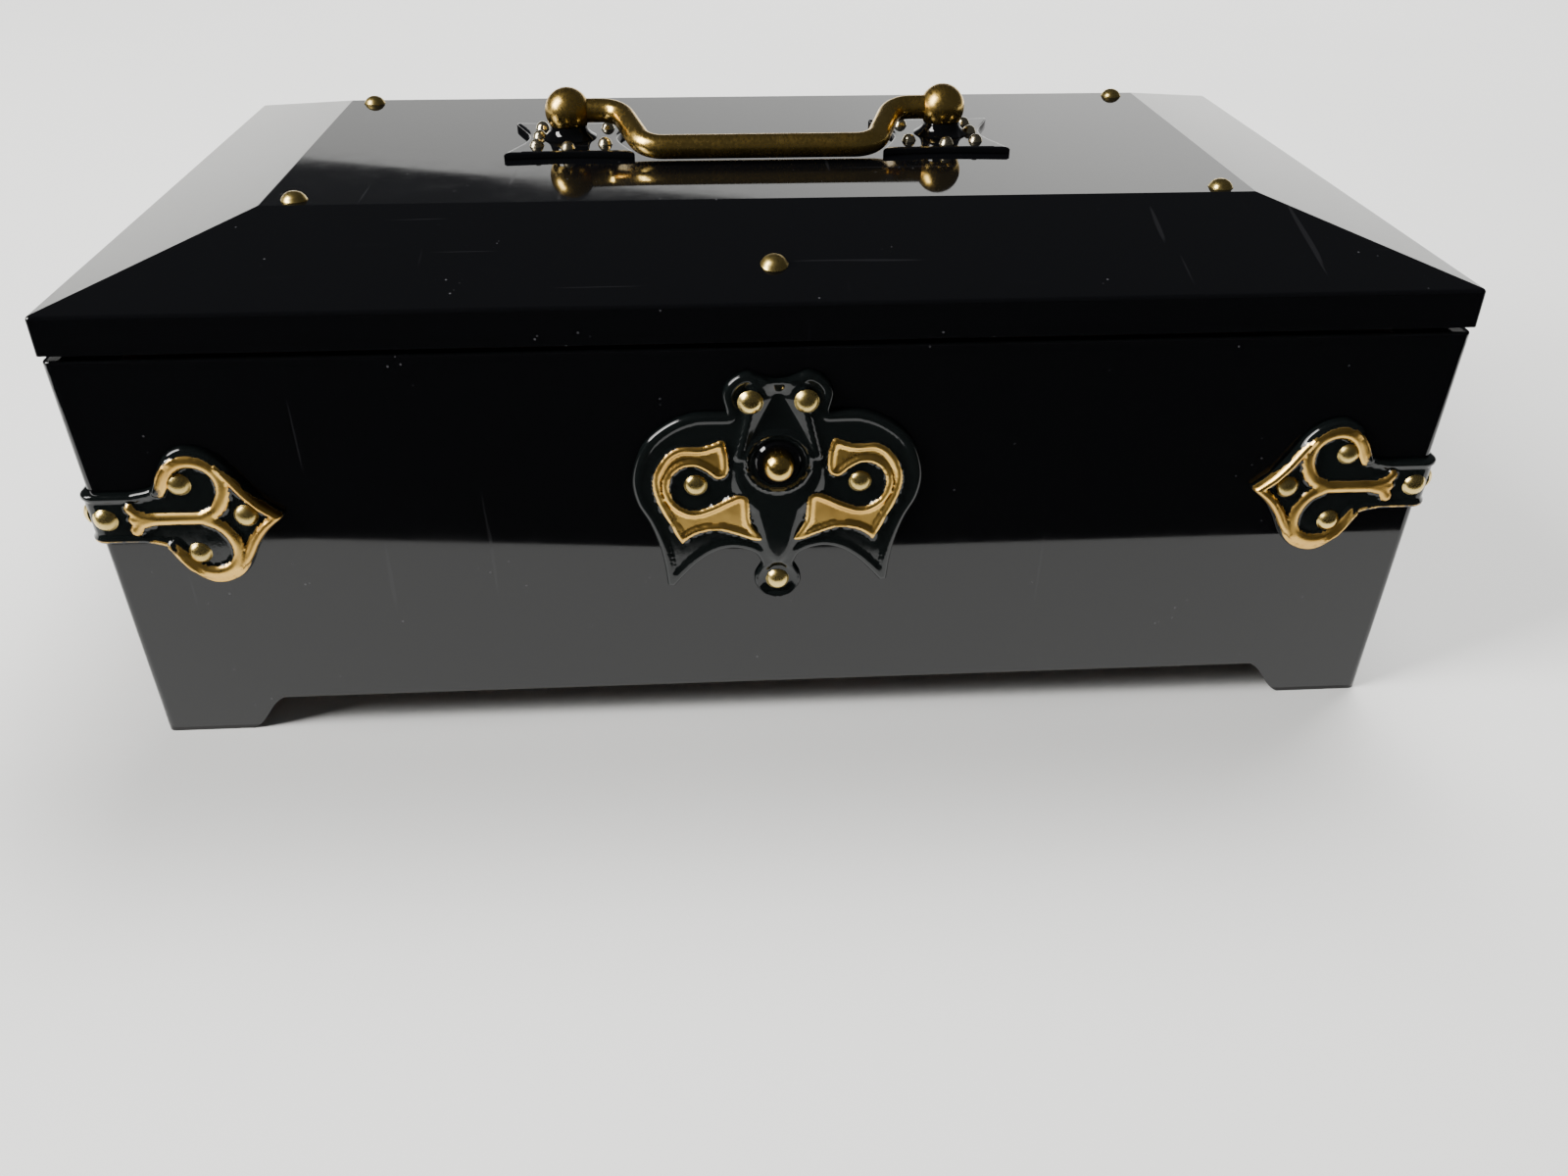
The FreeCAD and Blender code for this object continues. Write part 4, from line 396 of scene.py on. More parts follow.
def near_line(points, line, closed=False):
    """Each point's distance to a polyline."""
    a = np.asarray(line, float)
    b = np.roll(a, -1, 0) if closed else a[1:]
    a = a if closed else a[:-1]
    best = np.full(len(points), 1e9)
    for p, q in zip(a, b):
        d = q - p
        size = max(d @ d, 1e-12)
        t = np.clip(((points - p) @ d) / size, 0, 1)
        gap = points - p - t[:, None] * d
        best = np.minimum(best, np.hypot(gap[:, 0], gap[:, 1]))
    return best


def within(points, outline):
    inside = np.zeros(len(points), bool)
    x, y = points[:, 0], points[:, 1]
    for (x1, y1), (x2, y2) in zip(outline, np.roll(outline, -1, 0)):
        crosses = (y1 > y) != (y2 > y)
        at = x1 + (y - y1) * (x2 - x1) / np.where(y2 == y1, 1e-9, y2 - y1)
        inside ^= crosses & (x < at)
    return inside


def depth_in(points, outline):
    """Distance to the outline, positive inside it."""
    gap = near_line(points, outline, True)
    return np.where(within(points, outline), gap, -gap)


def rise(value, low, high):
    t = np.clip((value - low) / (high - low), 0, 1)
    return t * t * (3 - 2 * t)


def ridge(distance, half_width):
    """A rounded bar's height, 1 on its line and 0 at its sides."""
    t = np.clip(1 - (distance / half_width) ** 2, 0, 1)
    return np.sqrt(t) * rise(1 - distance / half_width, 0, 0.35)


def quarter_round(depth, width):
    """A rounded edge's height, from 0 at the outline to 1 at the width."""
    t = np.clip(depth, 0, width) / width
    return np.sqrt(np.clip(1 - (1 - t) ** 2, 0, 1))


def relief(name, outline, shape, place, material, step=0.34, rings=(0.06, 0.16, 0.32, 0.55, 0.85)):
    """A closed moulding: shape gives its height and gilding inside the outline, place lays it on its seat."""
    following = np.roll(outline, -1, 0) - np.roll(outline, 1, 0)
    normal = np.stack([-following[:, 1], following[:, 0]], 1)
    normal /= np.maximum(np.linalg.norm(normal, axis=1), 1e-9)[:, None]
    area = np.sum(outline[:, 0] * np.roll(outline[:, 1], -1) - np.roll(outline[:, 0], -1) * outline[:, 1])
    if area < 0:
        normal = -normal
    layers = [outline]
    for ring in rings:
        moved = outline + normal * ring
        layers.append(moved[np.abs(depth_in(moved, outline) - ring) < 0.03])
    low, high = outline.min(0), outline.max(0)
    rows = np.arange(low[1], high[1], step * 0.866)
    grid = np.array([(x + (i % 2) * step / 2, y) for i, y in enumerate(rows)
                     for x in np.arange(low[0], high[0], step)])
    layers.append(grid[depth_in(grid, outline) > rings[-1] + step * 0.45])
    points = np.vstack(layers)
    loop = [(i, (i + 1) % len(outline)) for i in range(len(outline))]
    verts, _, faces, _, _, _ = delaunay_2d_cdt([Vector(p) for p in points], loop, [], 1, 1e-5)
    flat = np.array([tuple(v) for v in verts])
    heights, shares = shape(flat)
    top = place(flat, heights)
    seat = place(flat, np.zeros(len(flat)))
    bm = bmesh.new()
    layer = bm.verts.layers.float.new("gilt")
    upper = [bm.verts.new(Vector(p) * MM) for p in top]
    lower = [bm.verts.new(Vector(p) * MM) for p in seat]
    for vert, share in zip(upper, shares):
        vert[layer] = float(share)
    edges = {}
    for face in faces:
        bm.faces.new([upper[i] for i in face])
        bm.faces.new([lower[i] for i in reversed(face)])
        for i, j in zip(face, face[1:] + face[:1]):
            edges[(i, j)] = True
    for i, j in edges:
        if (j, i) not in edges:
            bm.faces.new([upper[j], upper[i], lower[i], lower[j]])
    return placed(name, smoothed(bm, name, 50, material))


def body_inset(z):
    return BODY_DRAFT * (BODY_HIGH - z) / BODY_HIGH


def on_front_face(flat, heights):
    """(x, z) on the front face, standing out by a height."""
    y = -(BODY_HALF_Y - body_inset(flat[:, 1])) - heights
    return np.stack([flat[:, 0], y, flat[:, 1]], 1)


def round_corner(side):
    """(distance past the corner, height over the strap) laid over a front corner of the body."""
    def place(flat, heights):
        s = flat[:, 0]
        z = FITTING_HEIGHT + flat[:, 1]
        inset = body_inset(z)
        quarter = CORNER_ROUND * math.pi / 4
        bend = np.clip(s, -quarter, quarter)
        angle = math.pi / 4 + bend / CORNER_ROUND
        past = s - bend
        reach = CORNER_ROUND + heights
        x = -(BODY_HALF_X - inset) + CORNER_ROUND - reach * np.cos(angle) + np.maximum(past, 0)
        y = -(BODY_HALF_Y - inset) + CORNER_ROUND - reach * np.sin(angle) - np.minimum(past, 0)
        return np.stack([x * -side, y, z], 1)
    return place


# ---- corner reliefs: a strap round the corner, two lobes and a point, with a forked gilt ridge
LEAF = [(9.0, 4.7), (10.4, 7.1), (12.0, 9.4), (14.4, 10.7), (17.3, 10.2), (19.5, 8.4), (21.2, 5.4), (23.3, 2.3)]
LEAF_TIP = (25.9, 0.0)
STRAP_HALF, STRAP_END = 3.9, 6.2
EDGE_SHIFT = CORNER_ROUND * (1 - math.pi / 4)


def leaf_outline():
    lower = [(s, -h) for s, h in reversed(LEAF)] + [(STRAP_END, -STRAP_HALF)]
    strokes = [[(STRAP_END, STRAP_HALF)], LEAF + [LEAF_TIP], lower, [(EDGE_SHIFT, -STRAP_HALF)]]
    half = outline_of((EDGE_SHIFT, STRAP_HALF), strokes)
    half = np.vstack([half, [(EDGE_SHIFT, -STRAP_HALF)]]) - (EDGE_SHIFT, 0)
    return mirrored_outline(half)


FORK = [(15.4, 0.25), (17.2, 1.3), (18.5, 3.4), (18.7, 5.8), (17.7, 7.7), (15.8, 8.7), (13.8, 8.6),
        (12.2, 7.6), (11.2, 6.2), (10.2, 4.3)]
STEM = [(6.0, 0.0), (9.0, 0.0), (12.5, 0.0), (16.2, 0.0)]
STEM_FLARE = [(5.7, 1.75), (6.6, 0.7), (8.6, 0.15)]
TIP_RIDGE = [(18.3, 7.6), (19.9, 5.9), (21.2, 3.7), (22.9, 1.7), (25.0, 0.15)]
BROAD_BAR, FINE_BAR = 1.1, 0.9


def leaf_lines():
    lines = []
    for half in (FORK, STEM_FLARE, TIP_RIDGE):
        for sign in (1, -1):
            lines.append([(s - EDGE_SHIFT, sign * h) for s, h in half])
    return [[tuple(p) for p in curve_through(line, 0.4)] for line in lines]


LEAF_LINES = leaf_lines()
LEAF_STEM = [(s - EDGE_SHIFT, h) for s, h in STEM]
LEAF_NAILS = [(1.9, 0.0), (13.0, 5.3), (13.2, -5.6), (20.8, 0.2)]
LEAF_OUTLINE = leaf_outline()


def leaf_relief(flat):
    """(height, gilding) of the corner relief at each point."""
    folded = np.stack([np.abs(flat[:, 0]), flat[:, 1]], 1)
    depth = depth_in(flat, LEAF_OUTLINE)
    fork = np.min([near_line(folded, line) for line in LEAF_LINES[:2]], 0)
    flare = np.min([near_line(folded, line) for line in LEAF_LINES[2:4]], 0)
    tip = np.min([near_line(folded, line) for line in LEAF_LINES[4:]], 0)
    stem = near_line(folded, LEAF_STEM)
    fork, stem = ridge(fork, BROAD_BAR), ridge(stem, BROAD_BAR)
    flare, tip = ridge(flare, FINE_BAR), ridge(tip, FINE_BAR)
    bars = np.maximum.reduce([fork, stem, flare, tip])
    rim = ridge(np.abs(depth - 0.62), 0.66)
    height = 0.35 + 0.45 * quarter_round(depth, 0.5) + 0.32 * rim + 0.75 * bars
    worn = rise(folded[:, 0], 8.0, 13.0) * rise(rim, 0.55, 1.0) * 0.62
    worn *= rise(-flat[:, 1] + 0.5 * (folded[:, 0] - 14), 0.0, 5.0)
    low_strap = rise(rim, 0.6, 1.0) * rise(-flat[:, 1], 3.0, 3.4) * 0.5
    far_lobe = rise(folded[:, 0], 9.5, 12.0)
    gilding = np.maximum.reduce([rise(fork, 0.25, 0.6) * (0.35 + 0.65 * far_lobe),
                                 rise(np.maximum(stem, flare), 0.2, 0.5), rise(tip, 0.2, 0.5), worn, low_strap])
    return height, gilding


for side, corner in ((-1, "left"), (1, "right")):
    piece = relief(f"corner_relief_{corner}", LEAF_OUTLINE, leaf_relief, round_corner(side), GILT, 0.36)
    finished(piece, "box", "lacquered_plate", f"corner_fitting_{corner}")

# ---- lock plate: wings with gilt scrolls, a raised vase round the button, two lobes and a boss
PLATE_TOP = [(1.4, 56.7), (2.6, 57.2), (4.2, 57.7), (6.3, 56.7), (7.5, 54.6), (7.0, 51.8)]
PLATE_WING = [(11.6, 51.7), (15.6, 50.0), (18.7, 46.9), (20.2, 42.3), (19.8, 38.4), (18.1, 34.8),
              (16.9, 31.0), (16.3, 27.6)]
PLATE_POINT = [(16.0, 24.4)], [(15.0, 24.2)]
PLATE_HEM = [(13.6, 25.9), (11.4, 28.2), (8.9, 29.9), (6.2, 30.4), (3.4, 29.5), (2.2, 27.6)]
PLATE_BOSS = [(3.4, 24.9), (2.2, 22.5), (0.0, 21.5)]
SCROLL_START = (7.3, 46.9)
SCROLL = [[SCROLL_START, (7.7, 47.9), (9.0, 47.4), (10.9, 46.9), (13.4, 47.0), (15.4, 45.9), (16.9, 43.6),
           (17.4, 41.2), (16.8, 38.3), (15.4, 35.2), (14.2, 32.6)],
          [(13.7, 31.6)], [(12.6, 32.6), (11.0, 33.4), (8.4, 33.7), (5.6, 32.8), (3.4, 31.9), (2.2, 31.9)],
          [(2.9, 33.1), (3.9, 34.8), (4.1, 37.0), (4.3, 38.7), (5.3, 39.4), (7.0, 38.8), (9.4, 37.6),
           (12.0, 36.9), (14.2, 38.1), (15.2, 40.2), (14.9, 42.2), (13.6, 43.7), (11.7, 44.1), (9.9, 43.2),
           (8.6, 42.1), (7.3, 42.4), (6.9, 43.6)], [(7.0, 45.4), SCROLL_START]]
VASE_TOP, VASE_FOOT = 58.5, 28.6
VASE = [[(1.5, 53.6)], [(2.5, 50.2), (4.3, 46.8), (5.5, 43.4)], [(5.3, 40.6), (4.0, 38.2), (2.6, 36.6)],
        [(1.9, 33.5), (1.2, 30.0), (0.0, VASE_FOOT)]]
LOBE, BOSS, EYE = (3.9, 53.9), (0.0, 24.9), (11.5, 40.6)
NECK_NARROW, NECK_SPREAD, NECK_LONG = 1.9, 3.3, 8.6
SEAT_RING, RING_BEAD = 4.5, 4.35


def plate_outline():
    half = outline_of((0.0, 56.5), [PLATE_TOP, PLATE_WING, *PLATE_POINT, PLATE_HEM, PLATE_BOSS])
    return mirrored_outline(np.vstack([half, [PLATE_BOSS[-1]]]))


PLATE_OUTLINE = plate_outline()
SCROLL_OUTLINE = outline_of(SCROLL_START, SCROLL, 0.25)
VASE_HALF = outline_of((1.5, VASE_TOP), VASE)
VASE_OUTLINE = mirrored_outline(np.vstack([[(0.0, VASE_TOP)], VASE_HALF, [(0.0, VASE_FOOT)]]))


def plate_relief(flat):
    """(height, gilding) of the lock plate's relief at each point."""
    folded = np.stack([np.abs(flat[:, 0]), flat[:, 1]], 1)

    def from_point(point):
        return np.hypot(folded[:, 0] - point[0], flat[:, 1] - point[1])

    depth = depth_in(flat, PLATE_OUTLINE)
    edge = quarter_round(depth, 0.45)
    rim = ridge(np.abs(depth - 0.75), 0.75)
    in_scroll = depth_in(folded, SCROLL_OUTLINE)
    field = rise(in_scroll, -0.45, 0.15)
    bead = ridge(np.abs(in_scroll - 0.42), 0.62)
    vase = rise(depth_in(flat, VASE_OUTLINE), -1.5, 0.1)
    dish = rise(2.3 - from_point(LOBE), -0.5, 0.6)
    cup = rise(2.6 - from_point(BOSS), -0.5, 0.5)
    height = 0.42 + 0.5 * edge + 0.18 * rim
    height = np.maximum(height, height * (1 - vase) + 1.45 * vase * np.minimum(edge + 0.2, 1))
    height = np.maximum(height, (0.55 + 0.55 * field) + 0.42 * bead * (in_scroll > -0.3))
    height -= 0.35 * dish * (height - 0.2) + 0.4 * cup * (height - 0.2)
    fall = np.clip((LOBE[1] - flat[:, 1]) / NECK_LONG, 0, 1)
    middle = NECK_NARROW + NECK_SPREAD * fall
    half = 1.35 * (1 - fall) + 0.08
    across = np.clip((folded[:, 0] - (middle - half)) / (2 * half), 0, 1)
    neck = rise(flat[:, 1], 44.6, 45.2) * rise(57.2 - flat[:, 1], 0, 3.2)
    shoulder = rise(middle + half + 1.1 - folded[:, 0], 0, 1.1)
    channel = 1.62 - 0.95 * half * (1 - across)
    height += (channel - height) * neck * shoulder
    ring = from_point((0.0, BUTTON_HEIGHT))
    height += (1.05 - height) * rise(SEAT_RING - ring, 0, 0.5)
    height += 0.30 * ridge(np.abs(ring - RING_BEAD), 0.45)
    height -= 0.12 * rise(2.2 - from_point(EYE), 0, 1)
    return height, rise(in_scroll, -0.16, 0.1)


lock_plate = relief("lock_plate_relief", PLATE_OUTLINE, plate_relief, on_front_face, GILT)
finished(lock_plate, "box", "lacquered_plate", "escutcheon")

# ---------------------------------------------------------------- handle plates, ball collars and heads
PLATE_INNER, PLATE_OUTER, PLATE_HALF = 19.5, 39.7, 10.0
END_HOLLOW, SIDE_HOLLOW = 3.0, 0.7


def handle_plate_outline(side):
    """A square plate whose four sides are hollow."""
    middle = (PLATE_INNER + PLATE_OUTER) / 2
    a, b, h = PLATE_INNER, PLATE_OUTER, PLATE_HALF
    strokes = [[(middle, -h + SIDE_HOLLOW), (b, -h)], [(b - END_HOLLOW, 0.0), (b, h)],
               [(middle, h - SIDE_HOLLOW), (a, h)], [(a + END_HOLLOW, 0.0), (a, -h)]]
    return outline_of((a, -h), strokes, 0.3) * (side, 1)


def on_plateau(flat, heights):
    return np.stack([flat[:, 0], flat[:, 1], PLATEAU + heights], 1)


def bevelled(outline):
    def shape(flat):
        height = 0.72 + 0.28 * quarter_round(depth_in(flat, outline), 0.45)
        return height, np.zeros(len(flat))
    return shape


for side, end in ((-1, "left"), (1, "right")):
    outline = handle_plate_outline(side)
    piece = relief(f"handle_plate_moulding_{end}", outline, bevelled(outline), on_plateau, BLACK, 0.5,
                   (0.08, 0.2, 0.42))
    finished(piece, "lid", "black_plastic", f"handle_plate_{end}")


def turned(name, profile, around, degrees, centre_x=0.0, closed=False, material=()):
    """A turned mesh; the profile runs from axis to axis from the top, or is a closed loop."""
    bm = bmesh.new()
    spokes = [(math.cos(2 * math.pi * i / around), math.sin(2 * math.pi * i / around)) for i in range(around)]
    rings = [[bm.verts.new(Vector((centre_x + radius * c, radius * s, z)) * MM)
              for c, s in (spokes if radius else [(0, 0)])] for radius, z in profile]
    for upper, lower in zip(rings, rings[1:] + rings[:1] if closed else rings[1:]):
        for i in range(around):
            j = (i + 1) % around
            corners = [upper[i % len(upper)], lower[i % len(lower)],
                       lower[j % len(lower)], upper[j % len(upper)]]
            bm.faces.new(list(dict.fromkeys(corners)))
    return smoothed(bm, name, degrees, *material)


COLLAR_BORE, COLLAR_FOOT = 1.75, 4.4


def ball_collar(end, side):
    """The dark flared foot that the ball sits in."""
    seat = PLATEAU + 0.98
    ball = PLATEAU + BALL_LIFT
    outer = [(3.0, 1.95), (3.08, 1.7), (3.2, 1.2), (3.55, 0.7), (4.1, 0.34), (COLLAR_FOOT, 0.14),
             (COLLAR_FOOT, 0)]
    loop = [(radius, seat + z) for radius, z in outer] + [(COLLAR_BORE, seat)]
    for z in (seat + 0.55, seat + 0.9, seat + 1.4, seat + 1.9):
        loop.append((math.sqrt(max(BALL_RADIUS ** 2 - (ball - z) ** 2, 0)) + 0.05, z))
    name = f"ball_collar_{end}"
    piece = placed(name, turned(name, loop, 40, 50, side * BALL_X, True, (BLACK,)))
    finished(piece, "lid", "black_plastic")


ball_collar("left", -1)
ball_collar("right", 1)


class Growth:
    """A Geometry Nodes group with named inputs and short calls for its nodes."""

    def __init__(self, name, output, **inputs):
        self.group = bpy.data.node_groups.new(name, "GeometryNodeTree")
        socket = self.group.interface.new_socket
        for key, kind in inputs.items():
            socket(key.replace("_", " "), in_out="INPUT", socket_type="NodeSocket" + kind)
        socket(output, in_out="OUTPUT", socket_type="NodeSocketGeometry")
        self.given = self.group.nodes.new("NodeGroupInput").outputs
        self.result = self.group.nodes.new("NodeGroupOutput").inputs

    def add(self, kind, sockets, **settings):
        """A node's outputs; each of its sockets takes a value or the output that feeds it."""
        node = self.group.nodes.new(kind)
        for key, value in settings.items():
            setattr(node, key, value)
        for key, value in sockets.items():
            if isinstance(value, bpy.types.NodeSocket):
                self.group.links.new(value, node.inputs[key])
            else:
                node.inputs[key].default_value = value
        return node.outputs

    def math(self, operation, first, second):
        return self.add("ShaderNodeMath", {0: first, 1: second}, operation=operation)["Value"]

    def scaled(self, vector, scale):
        return self.add("ShaderNodeVectorMath", {0: vector, "Scale": scale}, operation="SCALE")["Vector"]

    def finish(self, geometry):
        """The group, giving the geometry realized and in its material."""
        real = self.add("GeometryNodeRealizeInstances", {"Geometry": geometry})
        done = self.add("GeometryNodeSetMaterial", {"Geometry": real["Geometry"],
                                                    "Material": self.given["Finish"]})
        self.group.links.new(done["Geometry"], self.result[0])
        return self.group


def head_nodes():
    """One turned head on each seat point, turned to its facing, each a little different."""
    g = Growth("seated_heads", "Heads", Seats="Geometry", Head="Object", Size_spread="Float",
               Tilt_spread="Float", Seed="Int", Finish="Material")
    given = g.given
    facing = g.add("GeometryNodeInputNamedAttribute", {"Name": "facing"}, data_type="FLOAT_VECTOR")
    align = g.add("FunctionNodeAlignRotationToVector", {"Vector": facing["Attribute"]}, axis="Z")
    least, most = (g.scaled((way, way, 20 * way), given["Tilt spread"]) for way in (-1, 1))
    tilt = g.add("FunctionNodeRandomValue", {0: least, 1: most, "Seed": given["Seed"]},
                 data_type="FLOAT_VECTOR")
    turn = g.add("FunctionNodeRotateRotation", {"Rotation": align["Rotation"], "Rotate By": tilt[0]},
                 rotation_space="LOCAL")
    low = g.math("SUBTRACT", 1.0, given["Size spread"])
    spread = g.add("FunctionNodeRandomValue", {2: low, 3: 1.0, "Seed": given["Seed"]}, data_type="FLOAT")
    head = g.add("GeometryNodeObjectInfo", {"Object": given["Head"]})
    heads = g.add("GeometryNodeInstanceOnPoints", {"Points": given["Seats"], "Instance": head["Geometry"],
                                                   "Rotation": turn["Rotation"], "Scale": spread[1]})
    return g.finish(heads["Instances"])


HEADS = head_nodes()


def grown(name, base, group, values):
    """The base's Geometry Nodes result as a plain mesh piece."""
    holder = placed(name + "_seats", base)
    modifier = holder.modifiers.new("grown", "NODES")
    modifier.node_group = group
    for item in group.interface.items_tree:
        if item.item_type == "SOCKET" and item.in_out == "INPUT" and item.name in values:
            modifier[item.identifier] = values[item.name]
    bpy.context.view_layer.update()
    mesh = settled(holder)
    mesh.name = name
    bpy.data.objects.remove(holder)
    return placed(name, mesh)


def head_mesh(name, radius, height, shank, length):
    """A domed head with a thin brim on a round shank."""
    steps = [(0, height), (0.34 * radius, 0.94 * height), (0.64 * radius, 0.74 * height),
             (0.86 * radius, 0.42 * height), (0.95 * radius, 0.14 * height), (radius, 0.07 * height),
             (radius, 0.0), (shank, 0.0), (shank, -length), (0, -length)]
    return turned(name, steps, 18, 40)


def seated_heads(name, seats, head, material, body, slot_name, node, seed, tilt=0.02):
    mesh = bpy.data.meshes.new(name + "_seats")
    mesh.from_pydata([Vector(place) * MM for place, _ in seats], [], [])
    layer = mesh.attributes.new("facing", "FLOAT_VECTOR", "POINT")
    for item, (_, facing) in zip(layer.data, seats):
        item.vector = facing
    shape = bpy.data.objects.new(name + "_head", head)
    piece = grown(name, mesh, HEADS, {"Head": shape, "Size spread": 0.05, "Tilt spread": tilt, "Seed": seed,
                                      "Finish": material})
    bpy.data.objects.remove(shape)
    finished(piece, body, slot_name, node)


def seat_on(place, flat, height):
    """(point, facing) on a laid relief at one height over its seat."""
    at = np.array([flat])
    low, high = place(at, np.array([height]))[0], place(at, np.array([height + 1]))[0]
    return low, Vector(high - low).normalized()


def corner_seats():
    seats = []
    for side in (-1, 1):
        place = round_corner(side)
        for s, h in LEAF_NAILS:
            for leaf in (-1, 1):
                flat = (leaf * (s - EDGE_SHIFT), h)
                top = leaf_relief(np.array([flat]))[0][0]
                seats.append(seat_on(place, flat, top - 0.12))
    return seats


SLOPE_FOOT, SLOPE_RUN, SLOPE_RIVET = -58.0, 25.5, 9.0


def slope_seat():
    """The front slope's rivet, a little way up from the slope's foot."""
    tilt = math.atan((PLATEAU - RIM_TOP) / SLOPE_RUN)
    place = (0.0, SLOPE_FOOT + SLOPE_RIVET, RIM_TOP + SLOPE_RIVET * math.tan(tilt))
    return place, Vector((0, -math.sin(tilt), math.cos(tilt)))


UP = Vector((0, 0, 1))
RIVET_X, RIVET_Y = 67.0, 30.0
nail = head_mesh("nail_head", 1.75, 1.1, 0.6, 1.2)
PLATE_NAILS = [(3.8, 53.6), (-3.8, 53.6), (11.5, 41.0), (-11.5, 41.0), BOSS]
plate_seats = [seat_on(on_front_face, p, plate_relief(np.array([p]))[0][0] - 0.1) for p in PLATE_NAILS]
seated_heads("corner_nail_heads", corner_seats(), nail, NAIL_BRASS, "box", "brass", "corner_nails", 3, 0.05)
seated_heads("lock_plate_nail_heads", plate_seats, nail, NAIL_BRASS, "box", "brass", "escutcheon_nails", 5)
rivet = head_mesh("rivet_head", 1.9, 1.3, 0.9, 2.2)
rivet_seats = [((i * RIVET_X, j * RIVET_Y, PLATEAU), UP) for i in (-1, 1) for j in (-1, 1)] + [slope_seat()]
seated_heads("lid_rivet_heads", rivet_seats, rivet, NAIL_BRASS, "lid", "brass", "lid_rivets", 7)
stud = head_mesh("stud_head", 1.2, 1.15, 0.45, 1.0)
STUD_ROWS = [(35.0, -5.4), (35.0, 0.3), (35.0, 6.0), (24.3, -4.8), (24.3, 5.6), (30.0, -7.0)]
stud_seats = [((i * x, y, PLATEAU + 0.97), UP) for i in (-1, 1) for x, y in STUD_ROWS]
seated_heads("handle_plate_stud_heads", stud_seats, stud, STUD_METAL, "lid", "brass", "plate_studs", 9, 0.06)

# ---------------------------------------------------------------- velvet tray and satin lid lining
TRAY_LEFT, TRAY_RIGHT, TRAY_FRONT, TRAY_BACK = -41.5, 85.48, -51.3, 49.5
TRAY_FLOOR, FLANGE_HIGH, CARD = 15.5, 58.5, 1.4
CATCH_HALF, CATCH_BACK = 11.0, -42.1
FLANGE_LOW, FLANGE_X, FLANGE_Y = 57.3, 91.81, 54.81
CORNER_CUT, CORNER_TURN, CARD_STEP = 4.2, 5.0, 1.1


def stepped(corners):
    """The closed outline through the corners, with points about a step apart."""
    dense = []
    for p, q in zip(corners, corners[1:] + corners[:1]):
        count = max(1, round(math.dist(p, q) / CARD_STEP))
        dense += [(p[0] + (q[0] - p[0]) * i / count, p[1] + (q[1] - p[1]) * i / count) for i in range(count)]
    return np.array(dense)


def padded_card(name, outline, place, thick, puff, seed, crush, step=CARD_STEP):
    """A thin card wrapped in padding and cloth: rounded edges, a crowned face and soft creases."""
    seeds = np.random.default_rng(seed)
    waves = [(seeds.uniform(0.12, 0.5), seeds.uniform(0, 6.28), seeds.uniform(0, 6.28)) for _ in range(7)]

    def shape(flat):
        x, y = flat[:, 0], flat[:, 1]
        depth = depth_in(flat, outline)
        edge = np.clip(depth, 0, 0.9) / 0.9
        crown = 1 - np.exp(-np.clip(depth, 0, None) / 6.0)
        folds = sum(np.sin(k * (x * math.cos(a) + y * math.sin(a)) + b) for k, a, b in waves) / 7
        pulled = np.exp(-depth / 3.0) * np.sin(0.9 * (x + y)) * 0.5
        board = thick * (0.45 + 0.55 * quarter_round(depth, 0.9))
        return board + puff * crown + crush * edge * (folds * crown + pulled), np.zeros(len(flat))

    piece = relief(name, outline, shape, place, VELVET, step, (0.1, 0.35, 0.8))
    finished(piece, "box", "velvet", "lining_tray")
    return piece


def card_outline(a, b, c, d, corner=0.8):
    """A rectangle from (a, c) to (b, d) with small round corners."""
    points = []
    for x, y, start in ((b - corner, d - corner, 0), (a + corner, d - corner, 90),
                        (a + corner, c + corner, 180), (b - corner, c + corner, 270)):
        for i in range(5):
            angle = math.radians(start + 22.5 * i)
            points.append((x + corner * math.cos(angle), y + corner * math.sin(angle)))
    return stepped(points)


def facing_x(x, way):
    """A card stood against a plane across X, its padding facing way."""
    return lambda flat, h: np.stack([x + way * h, flat[:, 0], flat[:, 1]], 1)


def facing_y(y, way):
    return lambda flat, h: np.stack([flat[:, 0], y + way * h, flat[:, 1]], 1)


def facing_up(z):
    return lambda flat, h: np.stack([flat[:, 0], flat[:, 1], z + h], 1)


def tray_floor_outline():
    """The floor's outline with the notch for the catch box."""
    a, b, c, d, n = TRAY_LEFT + CARD, TRAY_RIGHT - CARD, TRAY_FRONT + CARD, TRAY_BACK - CARD, CATCH_BACK
    near, far = 1.35, 4.6
    return stepped([(a, c), (-CATCH_HALF, c), (-CATCH_HALF, n), (CATCH_HALF, n), (CATCH_HALF, c),
                    (b - far, c), (b - near, c + near), (b, c + far), (b, d - far), (b - near, d - near),
                    (b - far, d), (a, d)])


WALL_LOW, WALL_HIGH = TRAY_FLOOR, FLANGE_HIGH - 0.4
padded_card("tray_floor_pad", tray_floor_outline(), facing_up(TRAY_FLOOR), 1.4, 0.7, 11, 0.3)
wall_cards = (
    ("left_wall_pad", (TRAY_FRONT, TRAY_BACK), facing_x(TRAY_LEFT, 1)),
    ("right_wall_pad", (TRAY_FRONT + CORNER_CUT, TRAY_BACK - CORNER_CUT), facing_x(TRAY_RIGHT, -1)),
    ("back_wall_pad", (TRAY_LEFT + CARD, TRAY_RIGHT - CORNER_CUT), facing_y(TRAY_BACK, -1)),
    ("front_wall_pad_left", (TRAY_LEFT + CARD, -CATCH_HALF), facing_y(TRAY_FRONT, 1)),
    ("front_wall_pad_right", (CATCH_HALF, TRAY_RIGHT - CORNER_CUT), facing_y(TRAY_FRONT, 1)),
    ("catch_box_pad_back", (-CATCH_HALF, CATCH_HALF), facing_y(CATCH_BACK - CARD, 1)),
    ("catch_box_pad_left", (TRAY_FRONT, CATCH_BACK), facing_x(-CATCH_HALF + CARD, -1)),
    ("catch_box_pad_right", (TRAY_FRONT, CATCH_BACK), facing_x(CATCH_HALF - CARD, 1)))
